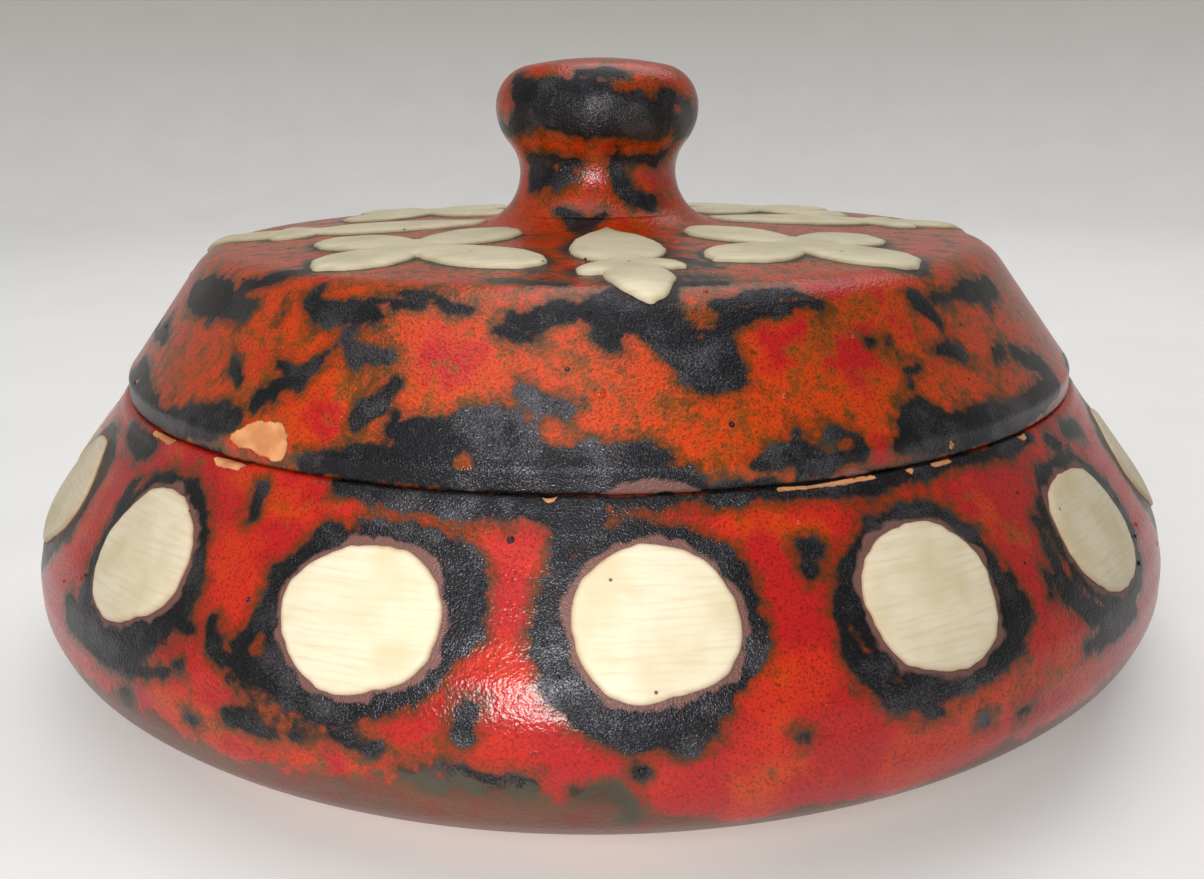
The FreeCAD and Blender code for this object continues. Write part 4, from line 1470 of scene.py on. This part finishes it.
# %% Build the tree that sets blisters on a wall
def build_blisters():
    tree = bpy.data.node_groups.new("glaze_blisters", "GeometryNodeTree")
    for name, kind in (("Places", "Geometry"), ("Flatness", "Float"), ("Glaze", "Material")):
        tree.interface.new_socket(name, in_out="INPUT", socket_type="NodeSocket" + kind)
    tree.interface.new_socket("Blisters", in_out="OUTPUT", socket_type="NodeSocketGeometry")
    given = add(tree, "NodeGroupInput").outputs
    kept = {
        name: add(
            tree, "GeometryNodeInputNamedAttribute", {"Name": name}, data_type=kind,
        ).outputs["Attribute"]
        for name, kind in (("size", "FLOAT"), ("burst", "FLOAT"), ("away", "FLOAT_VECTOR"))
    }
    stand = add(tree, "FunctionNodeAlignRotationToVector", {"Vector": kept["away"]}, axis="Z").outputs[0]
    flattened = {0: kept["size"], 1: given["Flatness"]}
    height = add(tree, "ShaderNodeMath", flattened, operation="MULTIPLY").outputs[0]
    size = add(tree, "ShaderNodeCombineXYZ", {0: kept["size"], 1: kept["size"], 2: height}).outputs[0]
    bead = add(tree, "GeometryNodeMeshUVSphere", {"Segments": 10, "Rings": 6, "Radius": 1.0}).outputs[0]
    path = add(tree, "GeometryNodeCurvePrimitiveCircle", {"Resolution": 10, "Radius": 0.6}).outputs[0]
    lip = add(tree, "GeometryNodeCurvePrimitiveCircle", {"Resolution": 5, "Radius": 0.45}).outputs[0]
    crater = add(tree, "GeometryNodeCurveToMesh", {"Curve": path, "Profile Curve": lip}).outputs[0]
    burst = {0: kept["burst"], 1: 0.5}
    open_ones = add(tree, "FunctionNodeCompare", burst, operation="GREATER_THAN").outputs[0]
    shut_ones = add(tree, "FunctionNodeBooleanMath", {0: open_ones}, operation="NOT").outputs[0]
    both = add(tree, "GeometryNodeJoinGeometry")
    for shape, chosen in ((bead, shut_ones), (crater, open_ones)):
        copying = {"Points": given["Places"], "Selection": chosen, "Instance": shape}
        copying.update({"Rotation": stand, "Scale": size})
        copies = add(tree, "GeometryNodeInstanceOnPoints", copying).outputs[0]
        tree.links.new(copies, both.inputs[0])
    real = add(tree, "GeometryNodeRealizeInstances", {"Geometry": both.outputs[0]}).outputs[0]
    smooth = add(tree, "GeometryNodeSetShadeSmooth", {"Geometry": real}).outputs[0]
    dressing = {"Geometry": smooth, "Material": given["Glaze"]}
    dressed = add(tree, "GeometryNodeSetMaterial", dressing).outputs[0]
    add(tree, "NodeGroupOutput", {"Blisters": dressed})
    return tree


blisters = build_blisters()
print("the blister tree has", len(blisters.nodes), "nodes")

# %% Set a list of blisters on a skin
FLATNESS = 0.55
BURST_BLACK = 2.0     # level of black in a burst blister


def set_blisters(name, skin, places):
    """One mesh of beads and craters, each an azimuth, a run, a radius in mm and 1 where it burst."""
    azimuth, run, size, burst = np.array(places).T
    aside = np.radians(turn_from(skin.azimuth, azimuth[:, None])) * skin.radius
    nearest = np.hypot(aside, skin.run - run[:, None]).argmin(1)
    mesh = bpy.data.meshes.new(name)
    mesh.from_pydata((skin.points[nearest] * MM).tolist(), [], [])
    kept = {key: values[nearest] for key, values in skin.paint.items()}
    kept["black"] = np.where(burst > 0.5, BURST_BLACK, kept["black"])
    kept.update(size=size * MM, burst=burst, away=skin.away()[nearest])
    for key, values in kept.items():
        keep_on_points(mesh, key, values)
    obj = new_object(name, mesh)
    modifier = obj.modifiers.new("blisters", "NODES")
    modifier.node_group = blisters
    set_inputs(modifier, {"Flatness": FLATNESS, "Glaze": glaze})
    obj.data = plain_mesh(obj, name)
    return obj


# %% Set the blisters that the picture shows, and others by chance
SMALLEST = 0.18       # mm of a chance blister's radius, and how much larger it can be
SIZE_SPREAD = 0.35
BURST_SHARE = 0.3
SPOT_CLEAR = 14       # mm from a spot's middle that blisters keep clear


def by_chance(seed, count, low, high, clear):
    """Places scattered over a wall between two runs, with the small ones most common."""
    draw = random.Random(seed)
    places = []
    while len(places) < count:
        azimuth, run = draw.uniform(-180, 180), draw.uniform(low, high)
        size = SMALLEST + SIZE_SPREAD * draw.random() ** 2
        burst = float(draw.random() < BURST_SHARE)
        if clear(azimuth, run):
            places.append((azimuth, run, size, burst))
    return places


def clear_of_spots(azimuth, run):
    return all(
        math.hypot(math.radians(turn_from(azimuth, other)) * SPOT_WALL, run - low) > SPOT_CLEAR
        for other, low, _, _ in spots.values()
    )


def anywhere(azimuth, run):
    return True


bowl_blisters = [
    (-7, 7, 0.6, 1), (-4, 21.5, 0.6, 1), (-2.9, 26.5, 0.45, 1), (2.4, 39.3, 0.5, 0), (16, 6, 0.5, 0),
]
lid_blisters = [
    (0, 17, 1.0, 0), (16.8, 15, 0.65, 0), (33.3, 2.8, 0.6, 0), (-3, 21, 0.4, 1), (11.5, 11, 0.5, 1),
    (-1.5, 60.5, 1.1, 0),
]
bowl_blisters += by_chance(71, count=90, low=4, high=34, clear=clear_of_spots)
lid_blisters += by_chance(73, count=70, low=6, high=34, clear=anywhere)
for skin, name, body, places in (
    (bowl_skin, "bowl_blisters", "bowl", bowl_blisters), (lid_skin, "lid_blisters", "lid", lid_blisters),
):
    bumps = set_blisters(name, skin, places)
    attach(bumps, body)
    print(name + ":", len(places), "places,", len(bumps.data.polygons), "faces")

# %% [markdown]
# ## Studio
# A pale dish of paper, round so that every side of the pot has the same background, a lamp just left
# of the camera for the highlights, with a grid on it that keeps its light off the floor, a large soft
# lamp above, and another behind for the sides that these leave dim.

# %% Lay the paper
SHADED_FROM = 0.35    # m of height over which painted shade darkens the paper
PAPER_GLOW = 0.3
DISH_STEPS = 96
floor_reach, wall_round, wall_top = 1100, 400, 1000


def studio_paper():
    material, tree, surface = new_finish("pale_paper")
    place = add(tree, "ShaderNodeTexCoord").outputs["Object"]
    clouds = {"Vector": place, "Scale": per_mm(60.0), "Detail": 3.0}
    fibre = add(tree, "ShaderNodeTexNoise", clouds).outputs["Fac"]
    height = add(tree, "ShaderNodeSeparateXYZ", {0: place}).outputs[2]
    shade = add(tree, "ShaderNodeMapRange", {"Value": height, "From Max": SHADED_FROM}).outputs[0]
    skin = linear("#e6e5e3")
    # fibre in the paper, then painted shade that darkens it up the wall
    for cover, colour in ((fibre, "#f1f0ee"), (shade, "#bdbab4")):
        layer = {0: cover, 6: skin, 7: linear(colour)}
        skin = add(tree, "ShaderNodeMix", layer, data_type="RGBA").outputs[2]
    # the eye and every reflection see the paper brighter than it lights the pot
    ray = add(tree, "ShaderNodeLightPath").outputs
    seen = ray["Is Camera Ray"]
    for kind in ("Is Glossy Ray", "Is Transmission Ray"):
        seen = add(tree, "ShaderNodeMath", {0: seen, 1: ray[kind]}, operation="MAXIMUM").outputs[0]
    glow = add(tree, "ShaderNodeMath", {0: seen, 1: PAPER_GLOW}, operation="MULTIPLY").outputs[0]
    tree.links.new(skin, surface.inputs["Base Color"])
    tree.links.new(skin, surface.inputs["Emission Color"])
    tree.links.new(glow, surface.inputs["Emission Strength"])
    surface.inputs["Roughness"].default_value = 0.9
    return material


wall_radius = floor_reach + wall_round
dish_outline = join(
    line((0, 0), (floor_reach, 0), 100),
    arc((floor_reach, wall_round), wall_round, -90, 0, 40),
    line((wall_radius, wall_round), (wall_radius, wall_top), 100),
)
dish = turn_on_wheel("studio_dish", dish_outline, DISH_STEPS, studio_paper())
print("paper:", 2 * wall_radius, "mm across")


# %% Set the lamps and the world
def lamp(name, place, target, size, watts, spread):
    data = bpy.data.lights.new(name, "AREA")
    data.spread = math.radians(spread)
    data.shape = "RECTANGLE"
    data.size, data.size_y = size
    data.energy = watts
    obj = new_object(name, data)
    obj.location = place
    obj.rotation_euler = (Vector(target) - Vector(place)).to_track_quat("-Z", "Y").to_euler()


# place, target and size in metres, then watts and the spread in degrees
lamp("key", (-0.036, -0.275, 0.115), (-0.012, 0, 0.06), (0.045, 0.065), 0.099, 100)
lamp("overhead", (-0.2, -0.25, 1.1), (0, 0, 0.05), (1.0, 1.0), 4.5, 180)
lamp("behind", (0.2, 0.5, 1.1), (0, 0, 0.05), (1.0, 1.0), 4.5, 180)
world = bpy.data.worlds.new("studio")
world.use_nodes = True
sky = world.node_tree.nodes["Background"].inputs
sky["Color"].default_value = linear("#e9e8e6")
sky["Strength"].default_value = 0.18
bpy.context.scene.world = world
bpy.context.scene.view_settings.view_transform = "Standard"
print("lamps:", ", ".join(light.name for light in bpy.data.lights))

# %% [markdown]
# ## Camera
# The lens stands close, about a hand's breadth from the belly, which foreshortens the lid steeply.
# Aiming at the pot by eye wouldn't give that, so lens, place and angles were found by laying the
# pot's outline over the picture.

# %% Set the camera
camera_pitch, camera_yaw, camera_roll = 0.2901, 0.0019, -0.0079
camera_place = (0.0, -0.25625, 0.1153)
camera_data = bpy.data.cameras.new("camera")
camera_data.sensor_fit = "HORIZONTAL"
camera_data.sensor_width = 36.0
camera_data.lens = 32.583
camera_data.clip_start = 0.01
camera = new_object("camera", camera_data)
ahead = Vector((
    math.sin(camera_yaw) * math.cos(camera_pitch),
    math.cos(camera_yaw) * math.cos(camera_pitch),
    -math.sin(camera_pitch),
))
level_right = Vector((math.cos(camera_yaw), -math.sin(camera_yaw), 0))
level_up = level_right.cross(ahead)
right = level_right * math.cos(camera_roll) + level_up * math.sin(camera_roll)
up = level_up * math.cos(camera_roll) - level_right * math.sin(camera_roll)
camera.matrix_world = Matrix.Translation(camera_place) @ Matrix((right, up, -ahead)).transposed().to_4x4()
bpy.context.scene.camera = camera
print("camera looks down by", round(math.degrees(camera_pitch), 1), "degrees")
